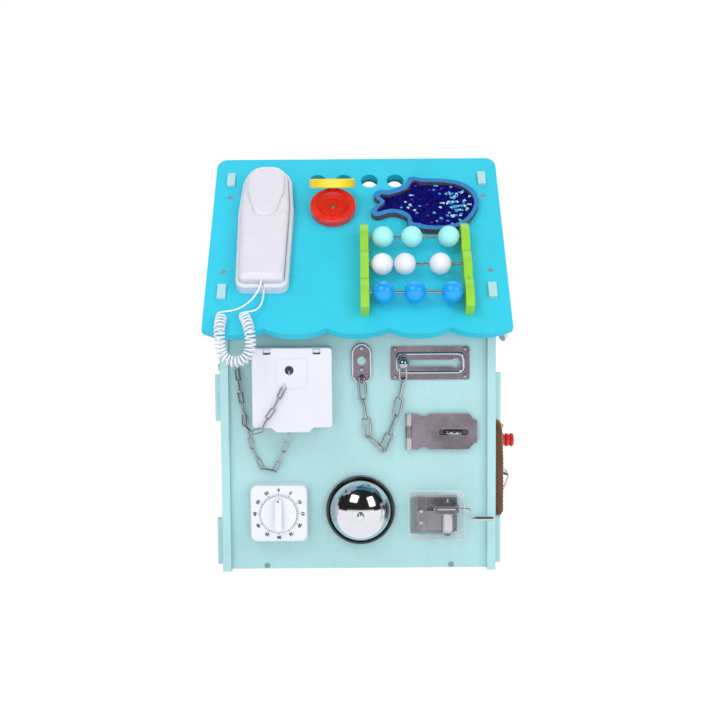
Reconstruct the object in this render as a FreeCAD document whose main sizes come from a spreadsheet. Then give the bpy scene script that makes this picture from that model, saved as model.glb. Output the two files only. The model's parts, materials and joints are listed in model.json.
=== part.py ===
"""Wooden busy board in the shape of a small house, with its play pieces.

Millimetres, +Z up. The origin is the middle of the footprint, on the surface that the house stands on.
The front faces -Y. Every size below is set by itself in the sheet and can be changed on its own.
"""
import math
import os
import re
from types import SimpleNamespace
import FreeCAD
import Part
import Sketcher
from FreeCAD import Placement, Rotation, Vector

SIZES = {
    # House boards
    "house_width": 330, "house_depth": 256, "board": 10, "front_recess": 8,
    "ridge_height": 509.2, "roof_slope": 52.25, "roof_width": 360, "roof_length": 278.5, "roof_board": 10,
    "scallop_depth": 9, "scallops": 5, "roof_corner": 14, "fit_gap": 0.1, "seat_gap": 0.3,
    "tenon_height": 56, "tenon_proud": 7, "lower_tenon_z": 7.5, "upper_tenon_z": 183,
    "roof_tenon_length": 21, "roof_tenon_proud": 4, "roof_tenon_upper": 38, "roof_tenon_lower": 217.5,
    "roof_hole": 22, "roof_hole_pitch": 33, "roof_hole_row": 39, "base_lift": 1.5,
    "roof_screw_upper": 66, "roof_screw_lower": 186, "base_screw_x": 112,
    "screw_head": 7, "screw_shank": 3.4, "screw_length": 28, "screw_sink": 2.2,
    # Toy phone
    "phone_x": -112, "phone_top": 29, "phone_length": 190, "phone_half_wide": 34, "phone_half_foot": 31,
    "cradle_height": 14, "cradle_rim": 4.6, "cradle_recess": 7, "handset_thick": 27, "handset_gap": 0.3,
    "ear_length": 74, "ear_half": 22, "ear_raise": 6,
    # Curly cord of the phone
    "cord_wire": 2.1, "coil_radius": 5.4, "coil_turns": 30,
    # Castanet
    "castanet_x": -29.5, "castanet_s": 88.5, "castanet_radius": 28.4, "castanet_thick": 11,
    "castanet_open": 46.5, "castanet_gap": 0.3, "castanet_dish": 5, "castanet_pin": 1,
    # Whale frame and its sequin cloth
    "whale_x": 83, "whale_s": 85, "whale_thick": 9, "whale_rim": 6, "sequin_thick": 4,
    # Abacus
    "abacus_left": 4, "abacus_gap": 111.5, "bracket_thick": 10, "abacus_top": 148, "rod_pitch": 41.8,
    "rod_height": 17.5, "rod_radius": 1.6, "bead_radius": 13, "bead_play": 0.25, "lobe_height": 25, "lobe_cusp": 18,
    # Splash-proof socket with a locked lid
    "socket_x": -77, "socket_z": 178.6, "socket_side": 94, "socket_deep": 26, "socket_wall": 2.5,
    "lid_deep": 8, "lid_gap": 0.4, "lid_tab": 5.5, "lock_x": -3, "lock_up": 68, "lock_radius": 5.2,
    "plug_radius": 15, "pin_radius": 2.4, "pin_spacing": 19, "well_radius": 19.5,
    # Chains
    "fine_wire": 1.5, "fine_length": 17, "fine_width": 6.6,
    "door_wire": 2.4, "door_length": 27.4, "door_link_width": 11, "chain_screw_x": -143.9, "chain_screw_z": 247.5,
    # Door chain guard
    "keeper_x": 4.6, "keeper_z": 251.5, "keeper_width": 25, "keeper_height": 49.5, "plate_thick": 1.5,
    "rib_high": 2.2, "rib_wide": 3, "track_x": 86.8, "track_z": 251.6, "track_width": 95.5,
    "track_height": 41, "slot_width": 7.4, "slot_start": 54, "slot_end": 117.2, "keyhole_radius": 5.6,
    "knob_ball": 7, "knob_neck": 2.9, "rib_frame_width": 83, "rib_frame_height": 26,
    # Hasp and staple
    "hasp_left": 61, "hasp_z": 169, "hasp_height": 44, "hasp_reach": 75, "hasp_tip": 12, "strap_thick": 1.8,
    "barrel_radius": 4.2, "hinge_pin": 2, "hasp_slot": 37, "hasp_slot_height": 8, "hasp_slot_x": 114.5,
    "staple_width": 24, "staple_wire": 2, "staple_reach": 17,
    # Kitchen timer
    "timer_x": -95.3, "timer_z": 74, "timer_side": 68, "timer_deep": 22, "timer_corner": 8,
    "timer_knob": 21.5, "timer_knob_high": 4, "timer_grip": 9, "timer_grip_high": 9,
    # Counter bell
    "bell_x": 2, "bell_z": 74.5, "bell_base": 41.5, "bell_base_deep": 11, "bell_radius": 38,
    "bell_high": 33, "bell_wall": 1.2, "bell_post": 4.5, "bell_button": 4.6, "bell_travel": 3,
    # Hand-cranked music box
    "music_x": 58.6, "music_z": 42, "music_width": 68, "music_height": 56, "music_deep": 38,
    "music_wall": 1.6, "music_corner": 5, "crank_z": 79.5, "crank_deep": 28, "crank_radius": 12,
    "crank_wire": 1.25, "cylinder_x": 106, "cylinder_radius": 6.5, "wheel_radius": 8.4, "wheel_teeth": 30,
    "worm_radius": 2.8,
    # Pieces on the side walls
    "plaque_y": -62, "plaque_z": 117, "plaque_half_wide": 44, "plaque_half_high": 60, "plaque_thick": 10,
    "button_y": -58, "button_z": 148, "yellow_z": 166, "yellow_y": -52, "button_thick": 6.5, "ribbed_radius": 8.6,
    "ribbed_length": 31,
    "chrome_y": -78, "chrome_z": 286, "chrome_radius": 12, "chrome_length": 21,
    "hook_y": -68, "hook_z": 243, "hook_wire": 1.6,
}

doc = FreeCAD.newDocument("busy_board")
sheet = doc.addObject("Spreadsheet::Sheet", "sizes")
for row, (alias, number) in enumerate(SIZES.items(), start=1):
    sheet.set("A%d" % row, alias.replace("_", " "))
    sheet.set("B%d" % row, str(number))
    sheet.setAlias("B%d" % row, alias)
doc.recompute()
z = SimpleNamespace(**{alias: float(sheet.get(alias)) for alias in SIZES})

nodes = []
slope_sin = math.sin(math.radians(z.roof_slope))
slope_cos = math.cos(math.radians(z.roof_slope))
face_y = -z.house_depth / 2 + z.front_recess
half_house = z.house_width / 2


# Helpers

def linked(text):
    """The expression with every size name pointed at the sheet."""
    return re.sub(r"[a-z_]+", lambda m: "sizes." + m.group(0) if m.group(0) in SIZES else m.group(0), text)


def bind(thing, **texts):
    for prop, text in texts.items():
        thing.setExpression(prop, linked(text))
    return thing


def node(thing, label):
    thing.Label = label
    nodes.append(thing)
    return thing


def on_front(x, up, out=0.0):
    """The front panel's own frame: x right, y up, z out of the panel."""
    return Placement(Vector(x, face_y - out, up), Rotation(Vector(1, 0, 0), 90))


def on_roof(x, down, out=0.0):
    """The front roof board's own frame: x right, y up the slope, z out of the board."""
    base = Vector(x, -down * slope_cos - out * slope_sin, z.ridge_height - down * slope_sin + out * slope_cos)
    return Placement(base, Rotation(Vector(1, 0, 0), z.roof_slope))


def on_right(y, up, out=0.0):
    """The right wall's own frame: x to the back, y up, z out of the wall."""
    return Placement(Vector(half_house + out, y, up), Rotation(Vector(1, 1, 1), 120))


def on_left(y, up, out=0.0):
    """The left wall's own frame: x to the front, y up, z out of the wall."""
    turn = Rotation(Vector(0, -1, 0), Vector(0, 0, 1), Vector(-1, 0, 0), "XYZ")
    return Placement(Vector(-half_house - out, y, up), turn)


def local(frame, x, y, out=0.0, turn=None):
    """A place given in a frame's own directions."""
    return frame.multiply(Placement(Vector(x, y, out), turn or Rotation()))


def box(name, length, width, height, place):
    thing = doc.addObject("Part::Box", name)
    thing.Placement = place
    return bind(thing, Length=length, Width=width, Height=height)


def centred(place, length, width):
    """The place moved so that a box of these sizes stands centred on it."""
    return place.multiply(Placement(Vector(-length / 2, -width / 2, 0), Rotation()))


def round_bar(name, radius, height, place):
    thing = doc.addObject("Part::Cylinder", name)
    thing.Placement = place
    return bind(thing, Radius=radius, Height=height)


def group(name, things):
    thing = doc.addObject("Part::Compound", name)
    thing.Links = things
    return thing


def joined(name, things):
    thing = doc.addObject("Part::MultiFuse", name)
    thing.Shapes = things
    thing.Refine = True
    return thing


def cut(name, base, tools):
    thing = doc.addObject("Part::Cut", name)
    thing.Base = base
    thing.Tool = tools[0] if len(tools) == 1 else group(name + "_cutters", tools)
    return thing


def made(name, shape, place=None):
    """A piece whose shape is worked out here from the sheet's sizes."""
    thing = doc.addObject("Part::Feature", name)
    thing.Shape = shape
    if place is not None:
        thing.Placement = place
    return thing


def new_body(name):
    return doc.addObject("PartDesign::Body", name)


def new_sketch(body, role, name):
    sketch = body.newObject("Sketcher::SketchObject", name)
    support = next(item for item in body.Origin.OriginFeatures if item.Role == role)
    sketch.AttachmentSupport = [(support, "")]
    sketch.MapMode = "FlatFace"
    return sketch


def outline(sketch, corners):
    """A closed outline of straight sides, each corner held by two sheet expressions."""
    first = sketch.GeometryCount
    count = len(corners)
    guess = [Vector(10 * math.cos(2 * math.pi * i / count), 10 * math.sin(2 * math.pi * i / count), 0)
             for i in range(count)]
    for i in range(count):
        sketch.addGeometry(Part.LineSegment(guess[i], guess[(i + 1) % count]), False)
    for i in range(count):
        sketch.addConstraint(Sketcher.Constraint("Coincident", first + i, 2, first + (i + 1) % count, 1))
    for i, (across, up) in enumerate(corners):
        for kind, text in (("DistanceX", across), ("DistanceY", up)):
            index = sketch.addConstraint(Sketcher.Constraint(kind, -1, 1, first + i, 1, 1.0 + i))
            sketch.setExpression("Constraints[%d]" % index, linked(text))
    return sketch


def padded(body, sketch, length, name="Pad"):
    pad = body.newObject("PartDesign::Pad", name)
    pad.Profile = sketch
    bind(pad, Length=length)
    body.Tip = pad
    return pad


def turned(name, corners, place):
    """A lathe-turned piece: corners are radius and height along the local z axis."""
    body = new_body(name)
    sketch = outline(new_sketch(body, "XZ_Plane", name + "_profile"), corners)
    spin = body.newObject("PartDesign::Revolution", name + "_turned")
    spin.Profile = sketch
    spin.ReferenceAxis = (sketch, ["V_Axis"])
    spin.Angle = 360
    body.Tip = spin
    body.Placement = place
    return body


def rounded_rectangle(width, height, corner, middle_x=0.0, middle_y=0.0, level=0.0):
    """A closed wire with round corners, in the XY plane."""
    w, h = width / 2, height / 2
    edges = []
    for sx, sy, start in ((1, 1, 0), (-1, 1, 90), (-1, -1, 180), (1, -1, 270)):
        centre = Vector(middle_x + sx * (w - corner), middle_y + sy * (h - corner), level)
        edges.append(Part.makeCircle(corner, centre, Vector(0, 0, 1), start, start + 90))
    sides = []
    for i in range(4):
        a, b = edges[i], edges[(i + 1) % 4]
        sides.append(a)
        if (a.lastVertex().Point - b.firstVertex().Point).Length > 1e-6:
            sides.append(Part.makeLine(a.lastVertex().Point, b.firstVertex().Point))
    return Part.Wire(Part.__sortEdges__(sides))


def rounded_polygon(corners, level=0.0):
    """A closed wire of straight sides and tangent arcs; each corner is x, y and its radius."""
    count = len(corners)
    points = [Vector(x, y, level) for x, y, radius in corners]
    sides = [points[(i + 1) % count] - points[i] for i in range(count)]
    halves = [(-sides[i - 1]).getAngle(sides[i]) / 2 for i in range(count)]
    reaches = [corners[i][2] / math.tan(halves[i]) for i in range(count)]
    # Two neighbouring arcs share their side where it is too short for both
    shares = [min(1.0, 0.998 * sides[i].Length / max(reaches[i] + reaches[(i + 1) % count], 1e-9))
              for i in range(count)]
    edges, joins = [], []
    for i, point in enumerate(points):
        before, after = (-sides[i - 1]).normalize(), Vector(sides[i]).normalize()
        reach = reaches[i] * min(shares[i - 1], shares[i])
        start, end = point + before * reach, point + after * reach
        if reach:
            radius = reach * math.tan(halves[i])
            inward = (before + after).normalize()
            edges.append(Part.Arc(start, point + inward * (radius / math.sin(halves[i]) - radius),
                                  end).toShape())
        joins.append((start, end))
    for i, (start, end) in enumerate(joins):
        edges.append(Part.makeLine(end, joins[(i + 1) % count][0]))
    return Part.Wire(Part.__sortEdges__(edges))


def slab(wire, low, high):
    """The wire's face from one level to another, along z."""
    shape = Part.Face(wire)
    shape.translate(Vector(0, 0, low))
    return shape.extrude(Vector(0, 0, high - low))


def turned_shape(points):
    """A turned shape about z from radius and height points; a middle point makes an arc of three."""
    edges = []
    for a, b in zip(points, points[1:] + points[:1]):
        middle = a[2:] if len(a) > 2 else None
        start, end = Vector(a[0], 0, a[1]), Vector(b[0], 0, b[1])
        if middle:
            edges.append(Part.Arc(start, Vector(middle[0], 0, middle[1]), end).toShape())
        elif (end - start).Length > 1e-7:
            edges.append(Part.makeLine(start, end))
    return Part.Face(Part.Wire(edges)).revolve(Vector(0, 0, 0), Vector(0, 0, 1), 360)


# Screws

def wood_screw(head, shank, length, sink, extra=0.0):
    """A countersunk screw pointing along -z with its head flush at z = 0."""
    return turned_shape([(0, extra), (head / 2 + extra, extra), (head / 2 + extra, -0.4),
                         (shank / 2 + extra, -0.4 - sink), (shank / 2 + extra, -length - extra),
                         (0, -length - extra)])


def pan_screw(head, high, shank, length):
    """A pan-head screw pointing along -z with its head standing on z = 0."""
    return turned_shape([(0, high), (head * 0.3, high, head * 0.46, high * 0.72), (head / 2, 0),
                         (shank / 2, 0), (shank / 2, -length), (0, -length)])


def set_at(shape, place):
    copy = shape.copy()
    copy.Placement = place
    return copy


back_turn = Placement(Vector(), Rotation(Vector(0, 0, 1), 180))
screw_places = []
for side in (-1, 1):
    for down in (z.roof_screw_upper, z.roof_screw_lower):
        screw_places.append(on_roof(side * (half_house - z.board / 2), down))
    screw_places.append(on_front(side * z.base_screw_x, z.board / 2))
screw_places += [back_turn.multiply(place) for place in screw_places]


def house_screws(extra=0.0):
    return [set_at(wood_screw(z.screw_head, z.screw_shank, z.screw_length, z.screw_sink, extra), place)
            for place in screw_places]


screw_cutters = Part.makeCompound(house_screws(0.15))
node(made("HouseScrews", Part.makeCompound(house_screws())), "panel_screws")

# Pan-head screws of the metal fittings, each with the place of its head's seat
fitting_screws = []


def fitting_screw(place, head=5.6, high=1.7, shank=2.8, length=9.0):
    """Adds a screw to the shared group and returns the pilot hole to cut for it."""
    fitting_screws.append(set_at(pan_screw(head, high, shank, length), place))
    hole = Part.makeCylinder(shank / 2 + 0.15, length + 0.5, Vector(0, 0, -length - 0.3))
    hole.Placement = place
    return hole


# House boards

def roof_point(down, out):
    """Sheet expressions for a point's distance in front of the middle and its height, on the front slope."""
    across = "-((%s) * cos(roof_slope) + (%s) * sin(roof_slope))" % (down, out)
    up = "ridge_height - (%s) * sin(roof_slope) + (%s) * cos(roof_slope)" % (down, out)
    return across, up


def side_corners():
    slope = []
    for middle in ("roof_tenon_upper", "roof_tenon_lower"):
        start = "%s - roof_tenon_length / 2" % middle
        end = "%s + roof_tenon_length / 2" % middle
        slope += [roof_point(start, "-roof_board"), roof_point(start, "roof_tenon_proud"),
                  roof_point(end, "roof_tenon_proud"), roof_point(end, "-roof_board")]
    eave = "ridge_height - roof_board / cos(roof_slope) - house_depth / 2 * tan(roof_slope)"
    back = [("-(%s)" % across, up) for across, up in reversed(slope)]
    peak = ("0", "ridge_height - roof_board / cos(roof_slope)")
    corners = [("-house_depth / 2", "0"), ("house_depth / 2", "0"), ("house_depth / 2", eave)]
    return corners + back + [peak] + slope + [("-house_depth / 2", eave)]


def panel_corners():
    inner, outer = "(house_width / 2 - board)", "(house_width / 2 + tenon_proud)"
    top = "(ridge_height - roof_board / cos(roof_slope) - (house_depth / 2 - front_recess) * tan(roof_slope) - seat_gap)"
    right = [(inner, "base_lift")]
    for low in ("lower_tenon_z", "upper_tenon_z"):
        right += [(inner, low), (outer, low), (outer, low + " + tenon_height"),
                  (inner, low + " + tenon_height")]
    right.append((inner, top))
    return right + [("-" + across, up) for across, up in reversed(right)]


def wall_body(name, role, corners, place):
    body = new_body(name)
    padded(body, outline(new_sketch(body, role, name + "_outline"), corners), "board", name + "_pad")
    body.Placement = place
    return body


tenon_slots = []
for turn in (Placement(), back_turn):
    for low in ("lower_tenon_z", "upper_tenon_z"):
        slot = box("TenonSlot", "house_width + 4 * tenon_proud", "board + 2 * fit_gap",
                   "tenon_height + 2 * fit_gap",
                   Placement())
        bottom = getattr(z, low) - z.fit_gap
        corner = Vector(-half_house - 2 * z.tenon_proud, face_y - z.fit_gap, bottom)
        slot.Placement = turn.multiply(Placement(corner, Rotation()))
        tenon_slots.append(slot)
tenon_cutter = group("TenonSlots", tenon_slots)

front_body = wall_body("FrontPanel", "XZ_Plane", panel_corners(),
                       Placement(Vector(0, face_y + z.board, 0), Rotation()))
back_body = wall_body("BackPanel", "XZ_Plane", panel_corners(), Placement(Vector(0, -face_y, 0), Rotation()))
left_body = wall_body("LeftSide", "YZ_Plane", side_corners(),
                      Placement(Vector(-half_house, 0, 0), Rotation()))
right_body = wall_body("RightSide", "YZ_Plane", side_corners(),
                       Placement(Vector(half_house - z.board, 0, 0), Rotation()))

base = box("BaseBoard", "house_width - 2 * board - 2 * fit_gap",
           "house_depth - 2 * front_recess - 2 * board - 2 * fit_gap",
           "board", Placement(Vector(-half_house + z.board + z.fit_gap, face_y + z.board + z.fit_gap, 0),
                              Rotation()))


def roof_board(name, turn):
    """One roof board: scalloped foot, round corners, four finger holes and the mortises for the side panels."""
    frame = turn.multiply(on_roof(0, 0, -z.roof_board))
    straight = z.roof_length - z.scallop_depth
    pitch = z.roof_width / z.scallops
    radius = ((pitch / 2) ** 2 + z.scallop_depth ** 2) / (2 * z.scallop_depth)
    lobes = [box(name + "Plank", "roof_width", "roof_length - scallop_depth", "roof_board",
                 local(frame, -z.roof_width / 2, -straight))]
    for i in range(int(z.scallops)):
        middle = -z.roof_width / 2 + (i + 0.5) * pitch
        lobes.append(round_bar(name + "Lobe",
                               "((roof_width / scallops / 2)^2 + scallop_depth^2) / (2 * scallop_depth)",
                               "roof_board", local(frame, middle, -z.roof_length + radius)))
    plank = joined(name + "Scalloped", lobes)
    corner = z.roof_corner
    blank = rounded_rectangle(z.roof_width, z.roof_length + corner, corner, 0, -(z.roof_length + corner) / 2)
    foot = rounded_rectangle(z.roof_width, z.roof_length, z.scallop_depth, 0, -z.roof_length / 2)
    trim = slab(blank, 0, z.roof_board).common(slab(foot, 0, z.roof_board))
    # The ridge ends are cut upright, so that the two boards meet in one plane
    ridge_cut = Part.makeBox(z.roof_width + 2, 2 * z.roof_board, 6 * z.roof_board,
                             Vector(-z.roof_width / 2 - 1, 0, -3 * z.roof_board))
    ridge_cut.Placement = Placement(Vector(0, -0.1, z.roof_board),
                                    Rotation(Vector(1, 0, 0), -z.roof_slope)).multiply(
        ridge_cut.Placement)
    kept = doc.addObject("Part::Common", name + "Shaped")
    kept.Base = plank
    kept.Tool = made(name + "Trim", trim, frame)
    openings = []
    for i in range(4):
        openings.append(round_bar(name + "Hole", "roof_hole / 2", "roof_board + 2",
                                  local(frame, (i - 1.5) * z.roof_hole_pitch, -z.roof_hole_row, -1)))
    for side in (-1, 1):
        for down in (z.roof_tenon_upper, z.roof_tenon_lower):
            length, width = z.board + 2 * z.fit_gap, z.roof_tenon_length + 2 * z.fit_gap
            openings.append(box(name + "Mortise", "board + 2 * fit_gap", "roof_tenon_length + 2 * fit_gap",
                                "roof_board + 2", centred(local(frame, side * (half_house - z.board / 2),
                                                                -down, -1),
                                                          length, width)))
    openings.append(made(name + "RidgeCut", ridge_cut, frame.multiply(ridge_cut.Placement)))
    return cut(name, kept, [group(name + "Openings", openings)])


roofs = {"front_roof_board": roof_board("FrontRoof", Placement()),
         "back_roof_board": roof_board("BackRoof", back_turn)}

# Toy phone: the cradle on the roof, and the handset that lies in it

phone = on_roof(z.phone_x, 0)


def phone_wire(inset):
    """The phone's outline: a domed top, sides that swell gently, and a square foot with round corners."""
    top, foot = -z.phone_top, -z.phone_top - z.phone_length
    wide, narrow = z.phone_half_wide, z.phone_half_foot
    right = [(narrow, foot, 11), (wide + 0.3, top - 71, 200), (wide - 4, top - 13, 30),
             (wide * 0.38, top, 24)]
    left = [(-across, along, radius) for across, along, radius in reversed(right)]
    wire = rounded_polygon(right + left)
    return wire.makeOffset2D(-inset) if inset else wire


def rim_edges(shape, level):
    return [edge for edge in shape.Edges if all(abs(v.Z - level) < 1e-4 for v in edge.Vertexes)]


cradle = slab(phone_wire(0), 0, z.cradle_height)
cradle = cradle.makeFillet(3.2, rim_edges(cradle, z.cradle_height))
cradle = cradle.cut(slab(phone_wire(z.cradle_rim), z.cradle_recess, z.cradle_height + 1))
lead_notch = Part.makeCylinder(2.4, 14, Vector(0, -z.phone_top - z.phone_length - 2, z.cradle_height),
                               Vector(0, 1, 0))
cradle = cradle.cut(lead_notch)
node(made("Cradle", cradle, phone), "phone_cradle")

lift = z.cradle_recess + z.handset_gap
handset = slab(phone_wire(z.cradle_rim + z.handset_gap), lift, lift + z.handset_thick)
handset = handset.makeFillet(8.5, rim_edges(handset, lift + z.handset_thick))
ear_top, ear_foot = -z.phone_top - 17, -z.phone_top - 17 - z.ear_length
ear_half = [(z.ear_half * 0.55, ear_foot, 14), (z.ear_half + 1.5, ear_top - 32, 60),
            (z.ear_half - 1, ear_top, 12)]
ear_wire = rounded_polygon(ear_half + [(-x, y, radius) for x, y, radius in reversed(ear_half)])
ear_level = lift + z.handset_thick + z.ear_raise
ear = slab(ear_wire, lift + 4, ear_level)
ear = ear.makeFillet(4.5, rim_edges(ear, ear_level))
node(made("Handset", handset.fuse(ear).removeSplitter(), phone), "phone_handset")

# Castanet: two hollowed discs joined at the top of the base

castanet = on_roof(z.castanet_x, z.castanet_s)
R, T, DISH = z.castanet_radius, z.castanet_thick, z.castanet_dish
shell_points = [("0", "0"), ("castanet_radius - 1.2", "0"), ("castanet_radius", "1.2"),
                ("castanet_radius", "castanet_thick - 1.2"), ("castanet_radius - 1.2", "castanet_thick"),
                ("castanet_radius - 8", "castanet_thick"), ("castanet_radius - 9.5", "castanet_thick - 1.6"),
                ("castanet_radius - 14", "castanet_thick - castanet_dish"),
                ("0", "castanet_thick - castanet_dish")]
base_disc = turned("CastanetBase", shell_points, castanet)
castanet_screw = on_roof(z.castanet_x, z.castanet_s, T - DISH)
base_hole = fitting_screw(castanet_screw, 6.4, 1.6, 3, 12)
hinge_line = local(castanet, 0, R - 1.2, T + z.castanet_gap / 2)
along_hinge = hinge_line.multiply(Placement(Vector(-7, 0, 0), Rotation(Vector(0, 1, 0), 90)))
stud = doc.addObject("Part::Cone", "CastanetStud")
stud.Placement = local(castanet, 0, -R * 0.42, T - DISH - 0.2)
bind(stud, Radius1="castanet_radius / 9", Radius2="castanet_radius / 12", Height="castanet_dish / 2")
cord_hole = [round_bar("ElasticHole", "1.3", "castanet_thick + 2", local(castanet, side * 6, R - 4, -1))
             for side in (-1, 1)]
base_groove = round_bar("HingeGroove", "castanet_pin + fit_gap / 2", "14", along_hinge)
drilled_base = cut("CastanetBaseDone", joined("CastanetBaseWithStud", [base_disc, stud]),
                   [made("CastanetScrewHole", base_hole), base_groove] + cord_hole)
castanet_pin = round_bar("CastanetPin", "castanet_pin", "14", along_hinge)
node(group("CastanetBaseAndPin", [drilled_base, castanet_pin]), "castanet_base")

opened = hinge_line.multiply(Placement(Vector(), Rotation(Vector(1, 0, 0), -z.castanet_open)))
closed_lid = Placement(Vector(0, 1.2 - R, T + z.castanet_gap / 2), Rotation(Vector(1, 0, 0), 180))
lid_disc = turned("CastanetLid", shell_points, opened.multiply(closed_lid))
lid_holes = [round_bar("ElasticHole", "1.3", "castanet_thick + 2",
                       opened.multiply(Placement(Vector(side * 6, -2.8, -1), Rotation())))
             for side in (-1, 1)]
lid_holes.append(round_bar("HingeGroove", "castanet_pin + fit_gap / 2", "14", along_hinge))
node(cut("CastanetLidDone", lid_disc, lid_holes), "castanet_lid")

# Whale frame with its sequin cloth

whale = on_roof(z.whale_x, z.whale_s)


WHALE_BODY = [(-37, -7, 9), (-20, -27, 16), (16, -41, 30), (58, -33, 24), (67, 2, 30), (50, 34, 26),
              (10, 41, 34), (-24, 27, 26), (-40, 6, 9)]
WHALE_FINS = ([(-34, -3, 5), (-63, -12, 7), (-58, 24, 7), (-47, 23, 7)],
              [(-34, 3, 5), (-46, -27, 7), (-60, -23, 7), (-63, 12, 7)],
              [(2, 34, 3), (-12, 45, 4), (-20, 40, 4), (-24, 22, 3)],
              [(6, -34, 3), (-20, -22, 3), (-16, -42, 4), (-4, -44, 4)])
whale_body = rounded_polygon(WHALE_BODY)
ring = slab(whale_body, 0, z.whale_thick)
for fin in WHALE_FINS:
    ring = ring.fuse(slab(rounded_polygon(fin), 0, z.whale_thick))
window = slab(whale_body.makeOffset2D(-z.whale_rim), -1, z.whale_thick + 1)
node(made("WhaleFrame", ring.removeSplitter().cut(window), whale), "whale_frame")
cloth = slab(whale_body.makeOffset2D(-z.whale_rim - z.seat_gap), 0, z.sequin_thick)
node(made("SequinCloth", cloth, whale), "sequin_panel")

# Abacus: two scalloped brackets, three rods and nine beads

bead_left = z.abacus_left + z.bracket_thick
rod_rows = [z.abacus_top + i * z.rod_pitch for i in range(3)]


def bracket_wire(grow=0.0):
    """The bracket's side, in x up the slope and y out of the roof: one lobe for each rod."""
    half = z.rod_pitch / 2
    edges = []
    rise = z.lobe_height - z.lobe_cusp
    for down in rod_rows:
        a, b = Vector(-down + half, z.lobe_cusp, 0), Vector(-down - half, z.lobe_cusp, 0)
        edges.append(Part.Arc(a, Vector(-down, z.lobe_cusp + rise, 0), b).toShape())
    top, foot = -rod_rows[0] + half, -rod_rows[-1] - half
    edges += [Part.makeLine(Vector(top, 0, 0), Vector(top, z.lobe_cusp, 0)),
              Part.makeLine(Vector(foot, 0, 0), Vector(foot, z.lobe_cusp, 0)),
              Part.makeLine(Vector(top, 0, 0), Vector(foot, 0, 0))]
    return Part.Wire(Part.__sortEdges__(edges))


standing = Rotation(Vector(0, 1, 0), Vector(0, 0, 1), Vector(1, 0, 0), "XYZ")
brackets, rods, rod_holes = [], [], []
for row, down in enumerate(rod_rows):
    place = local(on_roof(0, down, z.rod_height), z.abacus_left + 3, 0, 0, Rotation(Vector(0, 1, 0), 90))
    rods.append(round_bar("AbacusRod", "rod_radius", "abacus_gap + 2 * bracket_thick - 6", place))
    hole = round_bar("RodHole", "rod_radius + fit_gap / 2", "abacus_gap + 2 * bracket_thick - 5.8", place)
    hole.Placement = local(on_roof(0, down, z.rod_height), z.abacus_left + 2.9, 0, 0,
                           Rotation(Vector(0, 1, 0), 90))
    rod_holes.append(hole)
for left in (z.abacus_left, z.abacus_left + z.bracket_thick + z.abacus_gap):
    bracket = slab(bracket_wire(), 0, z.bracket_thick)
    brackets.append(made("AbacusBracket", bracket, on_roof(left, 0).multiply(Placement(Vector(), standing))))
node(cut("AbacusBrackets", group("BracketPair", brackets), [group("RodHoles", rod_holes)]), "abacus_brackets")
node(group("AbacusRods", rods), "abacus_rods")

# Where the beads of each rod stand, from the left bracket
BEAD_PLACES = {"mint": (17.4, 52.3, 96.9), "white": (16.1, 42.9, 84.6), "blue": (16.4, 53.3, 97.0)}
for down, (colour, places) in zip(rod_rows, BEAD_PLACES.items()):
    for count, across in enumerate(places, start=1):
        place = local(on_roof(0, down, z.rod_height), bead_left + across, 0, 0, Rotation(Vector(0, 1, 0), 90))
        ball = doc.addObject("Part::Sphere", "Bead")
        ball.Placement = place
        bind(ball, Radius="bead_radius")
        bore = round_bar("BeadBore", "rod_radius + bead_play", "3 * bead_radius",
                         place.multiply(Placement(Vector(0, 0, -1.5 * z.bead_radius), Rotation())))
        node(cut("BeadDrilled", ball, [bore]), "%s_bead_%d" % (colour, count))

# Splash-proof socket with its hinged, lockable lid

socket = on_front(z.socket_x, z.socket_z)
side, deep, wall = z.socket_side, z.socket_deep, z.socket_wall


def at_middle(width, height, corner, low, high, middle_up):
    return slab(rounded_rectangle(width, height, corner, 0, middle_up), low, high)


half_side = side / 2
shell = at_middle(side, side, 4, 0, deep, half_side)
shell = shell.cut(at_middle(side - 2 * wall, side - 2 * wall, 3, wall, deep + 1, half_side))
chain_gap = Part.makeBox(12, wall * 3, deep, Vector(-10, -wall, wall * 2))
shell = shell.cut(chain_gap)
hinge_up = side - 3.6
hinge_out = deep + 3.4
knuckle = 3.0
for across in (-half_side * 0.62, half_side * 0.62):
    ear = Part.makeBox(8, 5.4, hinge_out - deep + 4, Vector(across - 4, hinge_up - 2.7, deep - 4))
    barrel = Part.makeCylinder(knuckle, 8, Vector(across - 4, hinge_up, hinge_out), Vector(1, 0, 0))
    shell = shell.fuse(ear).fuse(barrel)
pin_hole = Part.makeCylinder(1.3, side - 8, Vector(-half_side + 4, hinge_up, hinge_out), Vector(1, 0, 0))
shell = shell.cut(pin_hole).removeSplitter()
corner_holes = []
for across in (-1, 1):
    for up in (0.16, 0.84):
        corner_holes.append(fitting_screw(on_front(z.socket_x + across * side * 0.34,
                                                   z.socket_z + up * side, wall),
                                          6, 1.8, 3, 11))
shell_holes = Part.makeCompound([Part.makeCylinder(1.65, wall + 4, Vector(x * side * 0.34, up * side, -2))
                                 for x in (-1, 1) for up in (0.16, 0.84)])
lid_pin = Part.makeCylinder(1.22, side - 9, Vector(-half_side + 4.5, hinge_up, hinge_out), Vector(1, 0, 0))
node(made("SocketBox", Part.makeCompound([shell.cut(shell_holes), lid_pin]), socket), "socket_box")

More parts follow.
